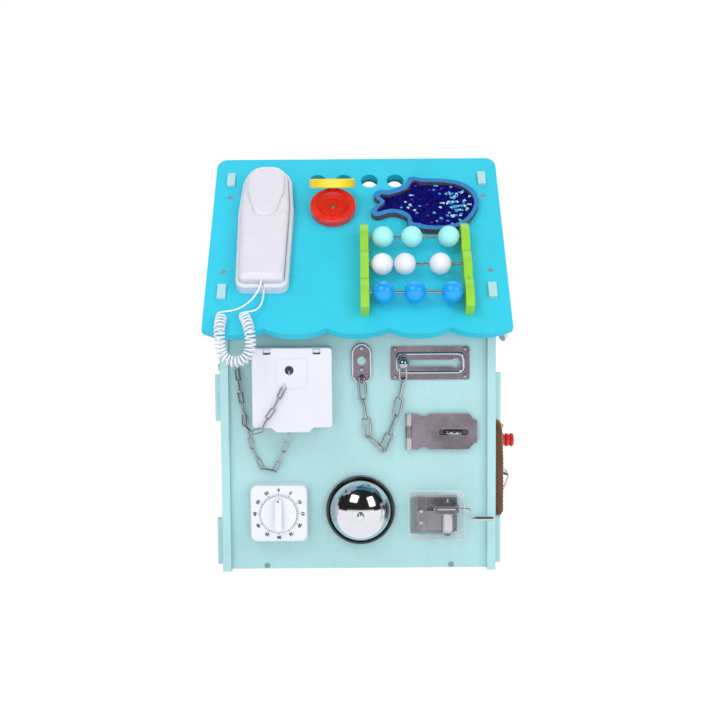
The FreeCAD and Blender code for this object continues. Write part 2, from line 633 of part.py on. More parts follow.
well_up = half_side - 2
insert_deep, plug_front = 14, wall + 16
insert = Part.makeCylinder(z.well_radius + 3, insert_deep, Vector(0, well_up, wall))
insert = insert.cut(Part.makeCylinder(z.well_radius, insert_deep, Vector(0, well_up, wall + 5)))
for across in (-1, 1):
    insert = insert.cut(Part.makeCylinder(z.pin_radius + 0.3, 5.5,
                                          Vector(across * z.pin_spacing / 2, well_up, wall - 0.2)))
node(made("SocketInsert", insert.removeSplitter(), socket), "socket_insert")
plug = Part.makeCylinder(z.plug_radius, plug_front - wall - 5.2, Vector(0, well_up, wall + 5.2))
plug = plug.makeFillet(1.6, rim_edges(plug, plug_front))
PLUG_EYE = Vector(-4, well_up - 9, plug_front + 1.9)
plug = plug.fuse(Part.makeTorus(2.9, 1.0, PLUG_EYE, Vector(1, 0, 0)))
for across in (-1, 1):
    plug = plug.fuse(Part.makeCylinder(z.pin_radius, 6,
                                       Vector(across * z.pin_spacing / 2, well_up, wall + 0.3)))
node(made("SocketPlug", plug.removeSplitter(), socket), "socket_plug")

front_level = deep + z.lid_gap
lid_top = front_level + z.lid_deep
lid = at_middle(side, side, 4, front_level, lid_top, half_side)
tab = slab(rounded_polygon([(-25, 4, 0), (-25, 0, 1.5), (-19, -z.lid_tab, 2), (19, -z.lid_tab, 2),
                            (25, 0, 1.5), (25, 4, 0)]),
           front_level, lid_top)
lid = lid.fuse(tab).removeSplitter()
lid = lid.makeFillet(1.4, rim_edges(lid, lid_top))
lid = lid.cut(at_middle(side - 2 * wall, side - 2 * wall, 3, front_level - 1, lid_top - wall, half_side))
PAD_HIGH = 1.2
pad = at_middle(36, 34, 5, lid_top - wall, lid_top + PAD_HIGH, z.lock_up - 3.5)
lock_seat = Part.makeCylinder(z.lock_radius + 2.2, z.lid_deep - 1,
                              Vector(z.lock_x, z.lock_up, front_level + 0.6))
lug = Part.makeTorus(2.9, 1.0, Vector(-9, z.lock_up - 18.5, lid_top + PAD_HIGH + 1.6), Vector(1, 0, 0))
lug = lug.cut(Part.makeBox(20, 20, 20, Vector(-19, z.lock_up - 28, lid_top + PAD_HIGH - 20.4)))
relief = [Part.makeBox(8.8, 10, 9, Vector(x * half_side * 0.62 - 4.4, hinge_up - 4, front_level - 1))
          for x in (-1, 1)]
# The lid's top edge stays clear of the box as it swings
relief.append(Part.makeBox(side + 2, 5, hinge_out - front_level + 0.6,
                           Vector(-half_side - 1, hinge_up + 0.6, front_level - 1)))
lid = lid.fuse(pad).fuse(lock_seat).fuse(lug).cut(Part.makeCompound(relief))
hinge_barrel = Part.makeCylinder(knuckle, side * 0.5, Vector(-side * 0.25, hinge_up, hinge_out),
                                 Vector(1, 0, 0))
lid = lid.fuse(hinge_barrel).removeSplitter()
lid = lid.cut(pin_hole).cut(Part.makeCylinder(z.lock_radius + 0.05, 14,
                                              Vector(z.lock_x, z.lock_up, front_level)))
node(made("SocketLid", lid, socket), "socket_lid")

key_place = local(socket, z.lock_x, z.lock_up, front_level)
key_barrel = Part.makeCylinder(z.lock_radius - 0.02, z.lid_deep + 1.0)
key_barrel = key_barrel.cut(Part.makeBox(1.4, 5, 3, Vector(-0.7, -2.5, z.lid_deep - 1)))
cam = Part.makeBox(5, 9, 1.6, Vector(-2.5, -10.5, -2.4)).fuse(Part.makeCylinder(3, 2.6, Vector(0, 0, -2.4)))
node(made("LidKey", key_barrel.fuse(cam).removeSplitter(), key_place), "lid_key")

# Chains of welded links

LINK_PLAY = 0.15


def many_sided(sides, radius, centre, normal):
    """A regular outline square to the normal, as the section of a wire."""
    corners = [Vector(radius * math.cos(2 * math.pi * (i + 0.5) / sides),
                      radius * math.sin(2 * math.pi * (i + 0.5) / sides), 0)
               for i in range(sides)]
    wire = Part.makePolygon(corners + corners[:1])
    wire.Placement = Placement(centre, Rotation(Vector(0, 0, 1), normal))
    return wire


def link_shape(wire, length, width, sides):
    """One link along x, lying in the XY plane."""
    bow, run = (width - wire) / 2, length - width
    pieces = []
    for turn in (0, 180):
        end = Vector(run / 2, 0, 0)
        face = Part.Face(many_sided(sides, wire / 2, end + Vector(0, -bow, 0), Vector(1, 0, 0)))
        back = Part.Face(many_sided(sides, wire / 2, Vector(-run / 2, -bow, 0), Vector(1, 0, 0)))
        half = face.revolve(end, Vector(0, 0, 1), 180).fuse(back.extrude(Vector(run, 0, 0)))
        half.rotate(Vector(), Vector(0, 0, 1), turn)
        pieces.append(half)
    return pieces[0].fuse(pieces[1]).removeSplitter()


def link_normals(joints, outward, first_roll):
    """The direction square to each link's own plane: each link is turned a quarter from the one before."""
    normals = []
    for i, (a, b) in enumerate(zip(joints, joints[1:])):
        frame = Rotation((b - a).normalize(), Vector(), outward, "XZY")
        normals.append(frame.multVec(Rotation(Vector(1, 0, 0), first_roll + 90 * i).multVec(Vector(0, 0, 1))))
    return normals


def chain_joints(route, count, wire, length, outward, first_roll):
    """Where links meet: near the route, each link at its real length.

    At each joint the link whose plane holds the turn reaches past the other's wire.
    """
    ends = [[wire / 2 + LINK_PLAY, wire / 2 + LINK_PLAY] for i in range(count)]
    joints = Part.makePolygon(route).discretize(Number=count + 1)
    for attempt in range(6):
        reaches = [length - wire - start - end for start, end in ends]
        for sweep in range(1500):
            for i, reach in enumerate(reaches):
                gap = joints[i + 1] - joints[i]
                fault = gap * (1 - reach / gap.Length)
                first, last = i == 0, i == count - 1
                joints[i] += Vector() if first else fault * (1.0 if last else 0.5)
                joints[i + 1] -= Vector() if last else fault * (1.0 if first else 0.5)
        normals = link_normals(joints, outward, first_roll)
        for i in range(1, count):
            turn = (joints[i] - joints[i - 1]).cross(joints[i + 1] - joints[i])
            before = abs(turn.dot(normals[i - 1])) > abs(turn.dot(normals[i]))
            ends[i - 1][1] = wire + LINK_PLAY if before else 0.0
            ends[i][0] = 0.0 if before else wire + LINK_PLAY
    return joints, ends


def chain(route, count, wire, length, width, sides, outward, first_roll):
    """Links laid end to end along the route."""
    joints, ends = chain_joints(route, count, wire, length, outward, first_roll)
    normals = link_normals(joints, outward, first_roll)
    master = link_shape(wire, length, width, sides)
    links = []
    for i in range(count):
        along = (joints[i + 1] - joints[i]).normalize()
        centre = joints[i] + along * ((length - wire) / 2 - ends[i][0])
        links.append(set_at(master, Placement(centre, Rotation(along, Vector(), normals[i], "XZY"))))
    return links


def house_point(x, up, out):
    return on_front(x, up, out).Base


def ring_hang(centre, angle, radius, ring_wire, wire):
    """The joint of a link that hangs in a ring standing square to the panel, at an angle from straight down."""
    reach = radius - ring_wire - LINK_PLAY
    across = Vector(0, -math.sin(math.radians(angle)), -math.cos(math.radians(angle)))
    return centre + across * reach


panel_out = Vector(0, -1, 0)

# The black screw eye beside the socket, and its two fine chains

EYE_RADIUS, EYE_WIRE, EYE_OUT = 3.9, 1.2, 6.2
eye_centre = house_point(z.chain_screw_x, z.chain_screw_z, EYE_OUT)
eye_ring = Part.makeTorus(EYE_RADIUS, EYE_WIRE, Vector(0, 0, EYE_OUT), Vector(1, 0, 0))
eye_shank = Part.makeCylinder(EYE_WIRE, 9 + EYE_OUT - EYE_RADIUS, Vector(0, 0, -9))
eye_place = on_front(z.chain_screw_x, z.chain_screw_z)
node(made("ScrewEye", eye_ring.fuse(eye_shank).removeSplitter(), eye_place), "screw_eye")
eye_hole = set_at(Part.makeCylinder(EYE_WIRE + 0.1, 10, Vector(0, 0, -9.3)), eye_place)

lid_face = z.socket_deep + z.lid_gap + z.lid_deep
lug_joint = house_point(z.socket_x - 9, z.socket_z + z.lock_up - 18.5 - 2.9 + 1.0 + LINK_PLAY,
                        lid_face + PAD_HIGH + 1.6)
key_route = [lug_joint, house_point(-97, 205, lid_face + 3.9), house_point(-112, 180, lid_face + 3.9),
             house_point(-121, 174, lid_face + 3.2), house_point(-132, 181, 29), house_point(-138.5, 212, 17),
             ring_hang(eye_centre, 55, EYE_RADIUS, EYE_WIRE, z.fine_wire)]
plug_joint = socket.multVec(PLUG_EYE + Vector(0, -2.9 + 1.0 + LINK_PLAY, 0))
plug_route = [ring_hang(eye_centre, 0, EYE_RADIUS, EYE_WIRE, z.fine_wire), house_point(-142, 215, 5),
              house_point(-133, 174, 5), house_point(-127, 148, 5), house_point(-114, 124, 5),
              house_point(-101, 123, 5), house_point(-91, 143, 8), house_point(-82.5, 167, 17),
              house_point(-81, 180, 20.3), plug_joint]
fine_links = chain(key_route, 11, z.fine_wire, z.fine_length, z.fine_width, 4, panel_out, 0)
fine_links += chain(plug_route, 17, z.fine_wire, z.fine_length, z.fine_width, 4, panel_out, 0)
node(made("FineChains", Part.makeCompound(fine_links)), "fine_chains")

# Door chain: keeper plate, track plate, knob and chain

keeper = on_front(z.keeper_x, z.keeper_z)
half_tall = z.keeper_height / 2
keeper_plate = at_middle(z.keeper_width, z.keeper_height, z.keeper_width / 2 - 0.01, 0,
                         z.plate_thick + z.rib_high, 0)
keeper_plate = keeper_plate.makeFillet(1.0, rim_edges(keeper_plate, z.plate_thick + z.rib_high))
well_width = z.keeper_width - 2 * z.rib_wide
keeper_plate = keeper_plate.cut(at_middle(well_width, z.keeper_height - 2 * z.rib_wide, well_width / 2 - 0.01,
                                          z.plate_thick, z.plate_thick + 5, 0))
keeper_plate = keeper_plate.cut(Part.makeCylinder(5, 9, Vector(0, 3, -1)))
KEEPER_EYE_UP, KEEPER_EYE_RADIUS, KEEPER_EYE_OUT = -half_tall + 6, 4.2, 5.6
keeper_eye = Part.makeTorus(KEEPER_EYE_RADIUS, 1.3, Vector(0, KEEPER_EYE_UP, KEEPER_EYE_OUT), Vector(1, 0, 0))
keeper_eye = keeper_eye.cut(Part.makeBox(20, 20, 20, Vector(-10, KEEPER_EYE_UP - 10, z.plate_thick - 20)))
keeper_holes = Part.makeCompound([Part.makeCylinder(1.7, 5, Vector(0, up, -1))
                                  for up in (half_tall - 6.4, -7.2)])
keeper_screws = [fitting_screw(local(keeper, 0, up, z.plate_thick), 6, 1.8, 3)
                 for up in (half_tall - 6.4, -7.2)]
node(made("KeeperPlate", keeper_plate.fuse(keeper_eye).removeSplitter().cut(keeper_holes), keeper),
     "keeper_plate")

track = on_front(z.track_x, z.track_z)
channel_high = z.plate_thick + 3.2
plate = at_middle(z.track_width, z.track_height, 3, 0, z.plate_thick, 0)
plate = plate.fuse(at_middle(z.rib_frame_width, z.rib_frame_height, 5, 0, channel_high, 0))
plate = plate.removeSplitter()
plate = plate.makeFillet(1.6, rim_edges(plate, channel_high))
inner_wide, inner_tall = z.rib_frame_width - 2 * z.plate_thick, z.rib_frame_height - 2 * z.plate_thick
plate = plate.cut(at_middle(inner_wide, inner_tall, 4, -1, channel_high - z.plate_thick, 0))
slot_from, slot_to = z.slot_start - z.track_x, z.slot_end - z.track_x
slot_wide = slot_to - slot_from + z.slot_width
plate = plate.cut(slab(rounded_rectangle(slot_wide, z.slot_width, z.slot_width / 2 - 0.01,
                                         (slot_from + slot_to) / 2, 0),
                       -1, channel_high + 1))
plate = plate.cut(Part.makeCylinder(z.keyhole_radius, 9, Vector(slot_to, 0, -1)))
corner_places = [(x * (z.track_width / 2 - 6), y * (z.track_height / 2 - 3.9)) for x in (-1, 1)
                 for y in (-1, 1)]
plate = plate.cut(Part.makeCompound([Part.makeCylinder(1.5, 5, Vector(x, y, -1)) for x, y in corner_places]))
track_screws = [fitting_screw(local(track, x, y, z.plate_thick), 5, 1.5, 2.6) for x, y in corner_places]
node(made("TrackPlate", plate, track), "track_plate")

knob_place = on_front(z.slot_start, z.track_z)
neck, ball_out = z.knob_neck, channel_high + 10.4
flange_low = channel_high - z.plate_thick - 1.9
knob_shape = turned_shape([(0, flange_low), (z.keyhole_radius - 0.4, flange_low),
                           (z.keyhole_radius - 0.4, flange_low + 1.3), (neck, flange_low + 1.3),
                           (neck, ball_out - math.sqrt(z.knob_ball ** 2 - neck ** 2), z.knob_ball, ball_out),
                           (0, ball_out + z.knob_ball)])
last_out = channel_high + 1.2 + z.door_wire / 2
door_link = link_shape(z.door_wire, z.door_length, z.door_link_width, 6)
last_centre = neck + 0.2 + z.door_wire - z.door_length / 2
last_link = set_at(door_link, Placement(Vector(0, last_centre, last_out), Rotation(Vector(0, 0, 1), 90)))
node(made("ChainKnob", Part.makeCompound([knob_shape, last_link]), knob_place), "chain_knob")

keeper_joint = ring_hang(keeper.multVec(Vector(0, KEEPER_EYE_UP, KEEPER_EYE_OUT)), 0, KEEPER_EYE_RADIUS,
                         1.3, z.door_wire)
knob_joint = knob_place.multVec(Vector(0, last_centre - z.door_length / 2 + z.door_wire + LINK_PLAY,
                                       last_out))
low = z.track_z - 106
door_route = [keeper_joint, house_point(z.keeper_x + 2, low + 58, 6.4),
              house_point(z.keeper_x + 8, low + 22, 6.6),
              house_point(z.keeper_x + 18, low, 6.6), house_point(z.keeper_x + 33, low + 20, 6.6),
              house_point(z.slot_start - 7, low + 46, 6.6), knob_joint]
door_links = chain(door_route, 8, z.door_wire, z.door_length, z.door_link_width, 6, panel_out, 0)
node(made("DoorChain", Part.makeCompound(door_links)), "door_chain")

# Hasp: leaf, pin, strap and staple

hasp = on_front(z.hasp_left, z.hasp_z)
axis_out = z.barrel_radius + 0.4
half_hasp = z.hasp_height / 2
leaf = at_middle(34, z.hasp_height - 8, 2, 0, z.plate_thick, 0)
leaf.translate(Vector(20, 0, 0))
knuckles = (-half_hasp, -half_hasp * 0.34, half_hasp * 0.34, half_hasp)
for low_end, high_end in ((knuckles[0], knuckles[1]), (knuckles[2], knuckles[3])):
    length = high_end - low_end - 0.2
    start = low_end if low_end < 0 else low_end + 0.2
    leaf = leaf.fuse(Part.makeCylinder(z.barrel_radius, length, Vector(0, start, axis_out), Vector(0, 1, 0)))
    web_low, web_high = max(start, -half_hasp + 4), min(start + length, half_hasp - 4)
    leaf = leaf.fuse(Part.makeBox(5, web_high - web_low, z.plate_thick, Vector(0, web_low, 0)))
    leaf = leaf.fuse(Part.makeBox(2, web_high - web_low, axis_out, Vector(-1, web_low, 0)))
pin_bore = Part.makeCylinder(z.hinge_pin + 0.03, z.hasp_height + 2, Vector(0, -half_hasp - 1, axis_out),
                             Vector(0, 1, 0))
leaf = leaf.removeSplitter().cut(pin_bore)
hidden_screws = [(30, -10), (30, 10)]
leaf = leaf.cut(Part.makeCompound([Part.makeCylinder(1.6, 5, Vector(x, y, -1)) for x, y in hidden_screws]))
leaf_screws = [fitting_screw(local(hasp, x, y, z.plate_thick), 5, 1.3, 2.8) for x, y in hidden_screws]
pin = Part.makeCylinder(z.hinge_pin, z.hasp_height + 0.6, Vector(0, -half_hasp - 0.3, axis_out),
                        Vector(0, 1, 0))
node(made("HaspLeaf", Part.makeCompound([leaf, pin]), hasp), "hasp_leaf")

tip, foot_up = z.hasp_reach + 7.5, 14.2
strap_wire = rounded_polygon([
    (2, -half_hasp, 0), (12, -half_hasp, 1), (14, -half_hasp + 2.4, 1), (22, -half_hasp + 2.4, 1),
    (24, -half_hasp, 1), (z.hasp_reach - 3, -half_hasp, 1), (z.hasp_reach + 4, -foot_up, 2), (tip, -foot_up,
                                                                                              2),
    (tip, foot_up, 2), (z.hasp_reach + 4, foot_up, 2), (z.hasp_reach - 3, half_hasp, 1), (24, half_hasp, 1),
    (22, half_hasp - 2.4, 1), (14, half_hasp - 2.4, 1), (12, half_hasp, 1), (2, half_hasp, 0)])
strap = slab(strap_wire, axis_out - z.strap_thick / 2, axis_out + z.strap_thick / 2)
slot_middle = z.hasp_slot_x - z.hasp_left
strap = strap.cut(slab(rounded_rectangle(z.hasp_slot, z.hasp_slot_height, z.hasp_slot_height / 2 - 0.01,
                                         slot_middle,
                                         -1), 0, 20))
clear_radius = z.barrel_radius + 0.4
for low_end, high_end in ((knuckles[0] - 1, knuckles[1]), (knuckles[2], knuckles[3] + 1)):
    strap = strap.cut(Part.makeCylinder(clear_radius, high_end - low_end, Vector(0, low_end, axis_out),
                                        Vector(0, 1, 0)))
middle_knuckle = Part.makeCylinder(z.barrel_radius, knuckles[2] - knuckles[1] - 0.4,
                                   Vector(0, knuckles[1] + 0.2, axis_out), Vector(0, 1, 0))
strap = strap.fuse(middle_knuckle).removeSplitter().cut(pin_bore)
node(made("HaspStrap", strap, hasp), "hasp_strap")

staple = on_front(z.hasp_slot_x, z.hasp_z - 1)
half_staple = z.staple_width / 2 - z.staple_wire
legs = z.staple_reach - half_staple - z.staple_wire
staple_arch = Part.Face(Part.Wire(Part.makeCircle(z.staple_wire, Vector(half_staple, 0, legs),
                                                  Vector(0, 0, 1))))
staple_arch = staple_arch.revolve(Vector(0, 0, legs), Vector(0, -1, 0), 180)
staple_body = at_middle(z.staple_width + 8, 14, 2, 0, z.plate_thick, 0)
for across in (-half_staple, half_staple):
    staple_body = staple_body.fuse(Part.makeCylinder(z.staple_wire, legs, Vector(across, 0, 0)))
node(made("HaspStaple", staple_body.fuse(staple_arch).removeSplitter(), staple), "hasp_staple")

# Kitchen timer

timer = on_front(z.timer_x, z.timer_z)
case = at_middle(z.timer_side, z.timer_side, z.timer_corner, 0, z.timer_deep, 0)
case = case.makeFillet(2.6, rim_edges(case, z.timer_deep))
case = case.cut(Part.makeCylinder(z.timer_knob + 0.5, 2, Vector(0, 0, z.timer_deep - 1.2)))
case = case.cut(Part.makeCylinder(3.05, 14, Vector(0, 0, z.timer_deep - 12)))
node(made("TimerCase", case, timer), "timer_case")
dial = Part.makeCylinder(z.timer_knob, z.timer_knob_high, Vector(0, 0, z.timer_deep - 0.9))
dial = dial.makeFillet(0.8, rim_edges(dial, z.timer_deep - 0.9 + z.timer_knob_high))
grip_top = z.timer_deep - 0.9 + z.timer_knob_high + z.timer_grip_high
grip = at_middle(z.timer_grip, 2 * z.timer_knob - 3, z.timer_grip / 2 - 0.3, z.timer_deep, grip_top, 0)
grip = grip.makeFillet(1.6, rim_edges(grip, grip_top))
shaft = Part.makeCylinder(3, 11, Vector(0, 0, z.timer_deep - 11.5))
node(made("TimerKnob", dial.fuse(grip).fuse(shaft).removeSplitter(), timer), "timer_knob")

# Counter bell: base, dome, button and hammer

bell = on_front(z.bell_x, z.bell_z)
dome_low = z.bell_base_deep - 2
dome_top = dome_low + z.bell_high - 4
rise = dome_top - dome_low
dome_curve = (z.bell_radius ** 2 + rise ** 2) / (2 * rise)
dome_middle = dome_top - dome_curve


def dome_point(radius, curve):
    return radius, dome_middle + math.sqrt(curve ** 2 - radius ** 2)


post, bore = z.bell_post, 2.2
ring_in = z.bell_radius + 0.5
base_points = [(bore, 0), (z.bell_base, 0), (z.bell_base, z.bell_base_deep - 2, z.bell_base - 0.6,
                                             z.bell_base_deep - 0.6),
               (z.bell_base - 2, z.bell_base_deep), (ring_in, z.bell_base_deep - 0.6), (ring_in,
                                                                                        2.4), (post + 3, 2.4),
               (post, 5), (post, dome_top - z.bell_wall - 0.6), (2.9, dome_top - z.bell_wall - 0.6),
               (2.9, dome_top + 0.4), (bore, dome_top + 0.4)]
bell_base = turned_shape(base_points)
pivot_up, pivot_out = -11, 10
for across in (-4.6, 2.6):
    bell_base = bell_base.fuse(Part.makeBox(2, 5, pivot_out + 0.6, Vector(across, pivot_up - 2.5, 2)))
    bell_base = bell_base.fuse(Part.makeCylinder(2.5, 2, Vector(across, pivot_up, pivot_out + 0.4),
                                                 Vector(1, 0, 0)))
pivot_bore = Part.makeCylinder(1.03, 12, Vector(-6, pivot_up, pivot_out + 0.4), Vector(1, 0, 0))
bell_base = bell_base.cut(pivot_bore)
# A slot in the post lets the hammer's short arm reach the rod
arm_slot = Part.makeBox(4.6, post + 3, 9, Vector(-2.3, -post - 2.6, 5.2))
node(made("BellBase", bell_base.cut(arm_slot).removeSplitter(), bell), "bell_base")

inner_curve = dome_curve - z.bell_wall
outer_mid, inner_mid = dome_point(z.bell_radius * 0.62, dome_curve), dome_point(z.bell_radius * 0.62,
                                                                                inner_curve)
inner_edge = math.sqrt(inner_curve ** 2 - (dome_low - dome_middle) ** 2)
dome = turned_shape([dome_point(3.1, dome_curve) + outer_mid, (z.bell_radius, dome_low),
                     (inner_edge, dome_low) + inner_mid,
                     dome_point(3.1, inner_curve)])
node(made("BellDome", dome, bell), "bell_dome")

button_low = dome_top + 0.4 + z.bell_travel + 0.3
button_top = button_low + 4.4
rod_low = pivot_out + 0.4
button = turned_shape([(0, rod_low), (bore - 0.03, rod_low), (bore - 0.03, button_low),
                       (z.bell_button, button_low),
                       (z.bell_button, button_low + 1.6, z.bell_button * 0.76,
                        button_top - 0.8), (1, button_top), (0, button_top)])
node(made("BellButton", button, bell), "bell_button")

hammer = Part.makeCylinder(2.2, 4.4, Vector(-2.2, pivot_up, pivot_out + 0.4), Vector(1, 0, 0))
hammer = hammer.fuse(Part.makeBox(3, 11, 1.8, Vector(-1.5, pivot_up + 0.5, pivot_out - 1.7)))
hammer = hammer.fuse(Part.makeBox(3, 15, 1.8, Vector(-1.5, pivot_up - 15.5, pivot_out - 0.6)))
hammer = hammer.fuse(Part.makeSphere(4, Vector(0, pivot_up - 17, pivot_out + 1.6)))
hammer = hammer.fuse(Part.makeCylinder(1, 9.6, Vector(-4.8, pivot_up, pivot_out + 0.4), Vector(1, 0, 0)))
node(made("BellHammer", hammer.removeSplitter(), bell), "bell_hammer")

# Hand-cranked music box

music = on_front(z.music_x, z.music_z)
mid_x, mid_up = z.music_width / 2, z.music_height / 2
thin = z.music_wall


def music_slab(width, height, corner, low, high):
    return slab(rounded_rectangle(width, height, corner, mid_x, mid_up), low, high)


TRAY_DEEP = 9
tray = music_slab(z.music_width, z.music_height, z.music_corner, 0, TRAY_DEEP)
tray = tray.cut(music_slab(z.music_width - 2 * thin, z.music_height - 2 * thin, z.music_corner - thin, thin,
                           TRAY_DEEP + 1))
cover = music_slab(z.music_width, z.music_height, z.music_corner, TRAY_DEEP + 0.3, z.music_deep)
cover = cover.makeFillet(1.4, rim_edges(cover, z.music_deep))
cover = cover.cut(music_slab(z.music_width - 2 * thin, z.music_height - 2 * thin, z.music_corner - thin, 0,
                             z.music_deep - thin))
crank_up = z.crank_z - z.music_z
shaft_hole = Part.makeCylinder(z.crank_wire + 0.3, thin * 3,
                               Vector(z.music_width - 2 * thin, crank_up, z.crank_deep),
                               Vector(1, 0, 0))
node(made("MusicTray", tray, music), "music_tray")
node(made("MusicCover", cover.cut(shaft_hole), music), "music_cover")

cylinder_across = z.cylinder_x - z.music_x
cylinder_out = z.crank_deep - z.wheel_radius - z.worm_radius - 0.1
cylinder_low, wheel_low = 7, crank_up - 1.6
bed_top = cylinder_out - z.wheel_radius - 0.6
bed = Part.makeBox(50, z.music_height - 2 * thin - 8, bed_top - thin, Vector(10, thin + 4, thin))
journal = 1.5
for low_end in (thin + 1.2, wheel_low + 3.2 + 0.9):
    arm = Part.makeBox(8, 3.2, cylinder_out + 2.6 - bed_top + 1,
                       Vector(cylinder_across - 4, low_end + 0.6, bed_top - 1))
    bed = bed.fuse(arm).fuse(Part.makeCylinder(4, 3.2, Vector(cylinder_across, low_end + 0.6, cylinder_out),
                                               Vector(0, 1, 0)))
block = Part.makeBox(4, 8, z.crank_deep + 3.2 - bed_top + 1,
                     Vector(z.music_width - 12, crank_up - 4, bed_top - 1))
far_block = Part.makeBox(3, 8, z.crank_deep + 3.2 - bed_top + 1,
                         Vector(cylinder_across - 16, crank_up - 4, bed_top - 1))
rail = Part.makeBox(12, z.music_height - 2 * thin - 12, cylinder_out - 1.2 - bed_top + 1,
                    Vector(11, thin + 6, bed_top - 1))
bed = bed.fuse(block).fuse(far_block).fuse(rail)
bed = bed.fuse(Part.makeBox(6.5, 8, 4, Vector(z.music_width - 14, crank_up - 4, bed_top - 4)))
axle_bore = Part.makeCylinder(journal + 0.03, z.music_height, Vector(cylinder_across, 0, cylinder_out),
                              Vector(0, 1, 0))
crank_bore = Part.makeCylinder(z.crank_wire + 0.04, 60,
                               Vector(cylinder_across - 18, crank_up, z.crank_deep), Vector(1, 0, 0))
comb_screw_places = [(16, mid_up - 9), (16, mid_up + 5)]
comb_bores = Part.makeCompound([Part.makeCylinder(1.5, 8, Vector(x, y, cylinder_out - 8))
                                for x, y in comb_screw_places])
bed = bed.removeSplitter().cut(axle_bore).cut(crank_bore).cut(comb_bores)
node(made("MusicBedplate", bed, music), "music_bedplate")

TEETH, COMB_THICK, SLIT = 18, 1.3, 0.5
comb_low, comb_tall = cylinder_low + 2.5, wheel_low - cylinder_low - 6
comb_reach = cylinder_across - z.cylinder_radius - 0.5
comb = Part.makeBox(comb_reach - 12, comb_tall, COMB_THICK, Vector(12, comb_low, cylinder_out - 1.2 + 0.02))
slits = [Part.makeBox(comb_reach - 24, SLIT, 5, Vector(25, comb_low + (i + 1) * comb_tall / TEETH - SLIT / 2,
                                                       cylinder_out - 3)) for i in range(TEETH - 1)]
comb = comb.cut(Part.makeCompound(slits)).cut(Part.makeCompound(
    [Part.makeCylinder(1.6, 12, Vector(x, y, cylinder_out - 6)) for x, y in comb_screw_places]))
node(made("MusicComb", comb, music), "music_comb")
for x, y in comb_screw_places:
    fitting_screw(local(music, x, y, cylinder_out - 1.2 + COMB_THICK + 0.04), 5.4, 1.9, 2.8, 6)

barrel_long = wheel_low - cylinder_low - 1
drum = Part.makeCylinder(z.cylinder_radius, barrel_long, Vector(0, cylinder_low, 0), Vector(0, 1, 0))
drum = drum.fuse(Part.makeCylinder(journal, z.music_height - 9 - thin * 2, Vector(0, thin + 2, 0),
                                   Vector(0, 1, 0)))
drum = drum.fuse(Part.makeCylinder(z.cylinder_radius + 0.8, 1, Vector(0, cylinder_low, 0), Vector(0, 1, 0)))
teeth = int(z.wheel_teeth)
tooth_points = []
for i in range(teeth):
    for share, radius in ((-0.36, -0.9), (-0.16, 0), (0.16, 0), (0.36, -0.9)):
        angle = 2 * math.pi * (i + share) / teeth
        reach = z.wheel_radius + radius
        tooth_points.append(Vector(reach * math.cos(angle), 0, reach * math.sin(angle)))
wheel = Part.Face(Part.makePolygon(tooth_points + tooth_points[:1])).extrude(Vector(0, 3.2, 0))
wheel.translate(Vector(0, wheel_low, 0))
drum = drum.fuse(wheel).removeSplitter()
node(made("MusicCylinder", drum, local(music, cylinder_across, 0, cylinder_out)), "music_cylinder")

crank_start = cylinder_across - 17
arm_across = z.music_width + 19
path_points = [Vector(crank_start, 0, 0), Vector(arm_across, 0, 0), Vector(arm_across, -z.crank_radius, 0),
               Vector(arm_across + 14.5, -z.crank_radius, 0)]


def bent_wire(points, bend):
    """Straight runs joined by tangent arcs of one radius, or of each bend's own."""
    edges, last = [], points[0]
    for i in range(1, len(points) - 1):
        before = (points[i] - points[i - 1]).normalize()
        after = (points[i + 1] - points[i]).normalize()
        turn = before.getAngle(after)
        radius = bend(i) if callable(bend) else bend
        reach = radius * math.tan(turn / 2)
        start, end = points[i] - before * reach, points[i] + after * reach
        middle = points[i] + (after - before).normalize() * (radius / math.cos(turn / 2) - radius)
        edges += [Part.makeLine(last, start), Part.Arc(start, middle, end).toShape()]
        last = end
    edges.append(Part.makeLine(last, points[-1]))
    return edges


crank_path = Part.Wire(bent_wire(path_points, 3))
crank_section = Part.Wire(Part.makeCircle(z.crank_wire, path_points[0], Vector(1, 0, 0)))
crank = crank_path.makePipeShell([crank_section], True, False)
crank = crank.fuse(Part.makeCylinder(z.worm_radius, 2 * z.wheel_radius * 0.8,
                                     Vector(cylinder_across - z.wheel_radius * 0.8,
                                                                                   0, 0), Vector(1, 0, 0)))
sleeve = Part.makeCylinder(2.9, 11, Vector(arm_across + 3.6, -z.crank_radius, 0), Vector(1, 0, 0))
crank = crank.fuse(sleeve.makeFillet(0.9, sleeve.Edges)).removeSplitter()
node(made("MusicCrank", crank, local(music, 0, crank_up, z.crank_deep)), "music_crank")

# Right wall: leather lacing panel, ring, lace, turning knobs

plaque = on_right(z.plaque_y, z.plaque_z)
half_wide, half_high = z.plaque_half_wide, z.plaque_half_high
sole = rounded_polygon([(-half_wide, -half_high, 16), (half_wide, -half_high, 16),
                        (half_wide, half_high * 0.2, 30),
                        (half_wide * 0.72, half_high, 22), (-half_wide * 0.72, half_high, 22),
                        (-half_wide, half_high * 0.2, 30)])
shoe = slab(sole, 0, z.plaque_thick + 3)
shoe = shoe.makeFillet(7, rim_edges(shoe, z.plaque_thick + 3))
EYELETS = [(across, up) for up in (-30, -14, 2, 18) for across in (-14, 14)]
shoe_top = z.plaque_thick + 3
shoe = shoe.cut(Part.makeCompound([Part.makeCylinder(2.4, 8, Vector(x, y, shoe_top - 6))
                                   for x, y in EYELETS]))
STEM = 2.5
for across, up in ((z.button_y, z.button_z), (z.yellow_y, z.yellow_z)):
    shoe = shoe.cut(Part.makeCylinder(STEM + 0.05, 30, Vector(across - z.plaque_y, up - z.plaque_z, -5)))
RING_UP, RING_RADIUS = -12, 5
ring_place = local(plaque, 26, RING_UP, shoe_top)
ring = Part.makeTorus(RING_RADIUS, 0.9, Vector(0, 0, 2), Vector(1, 0, 0))
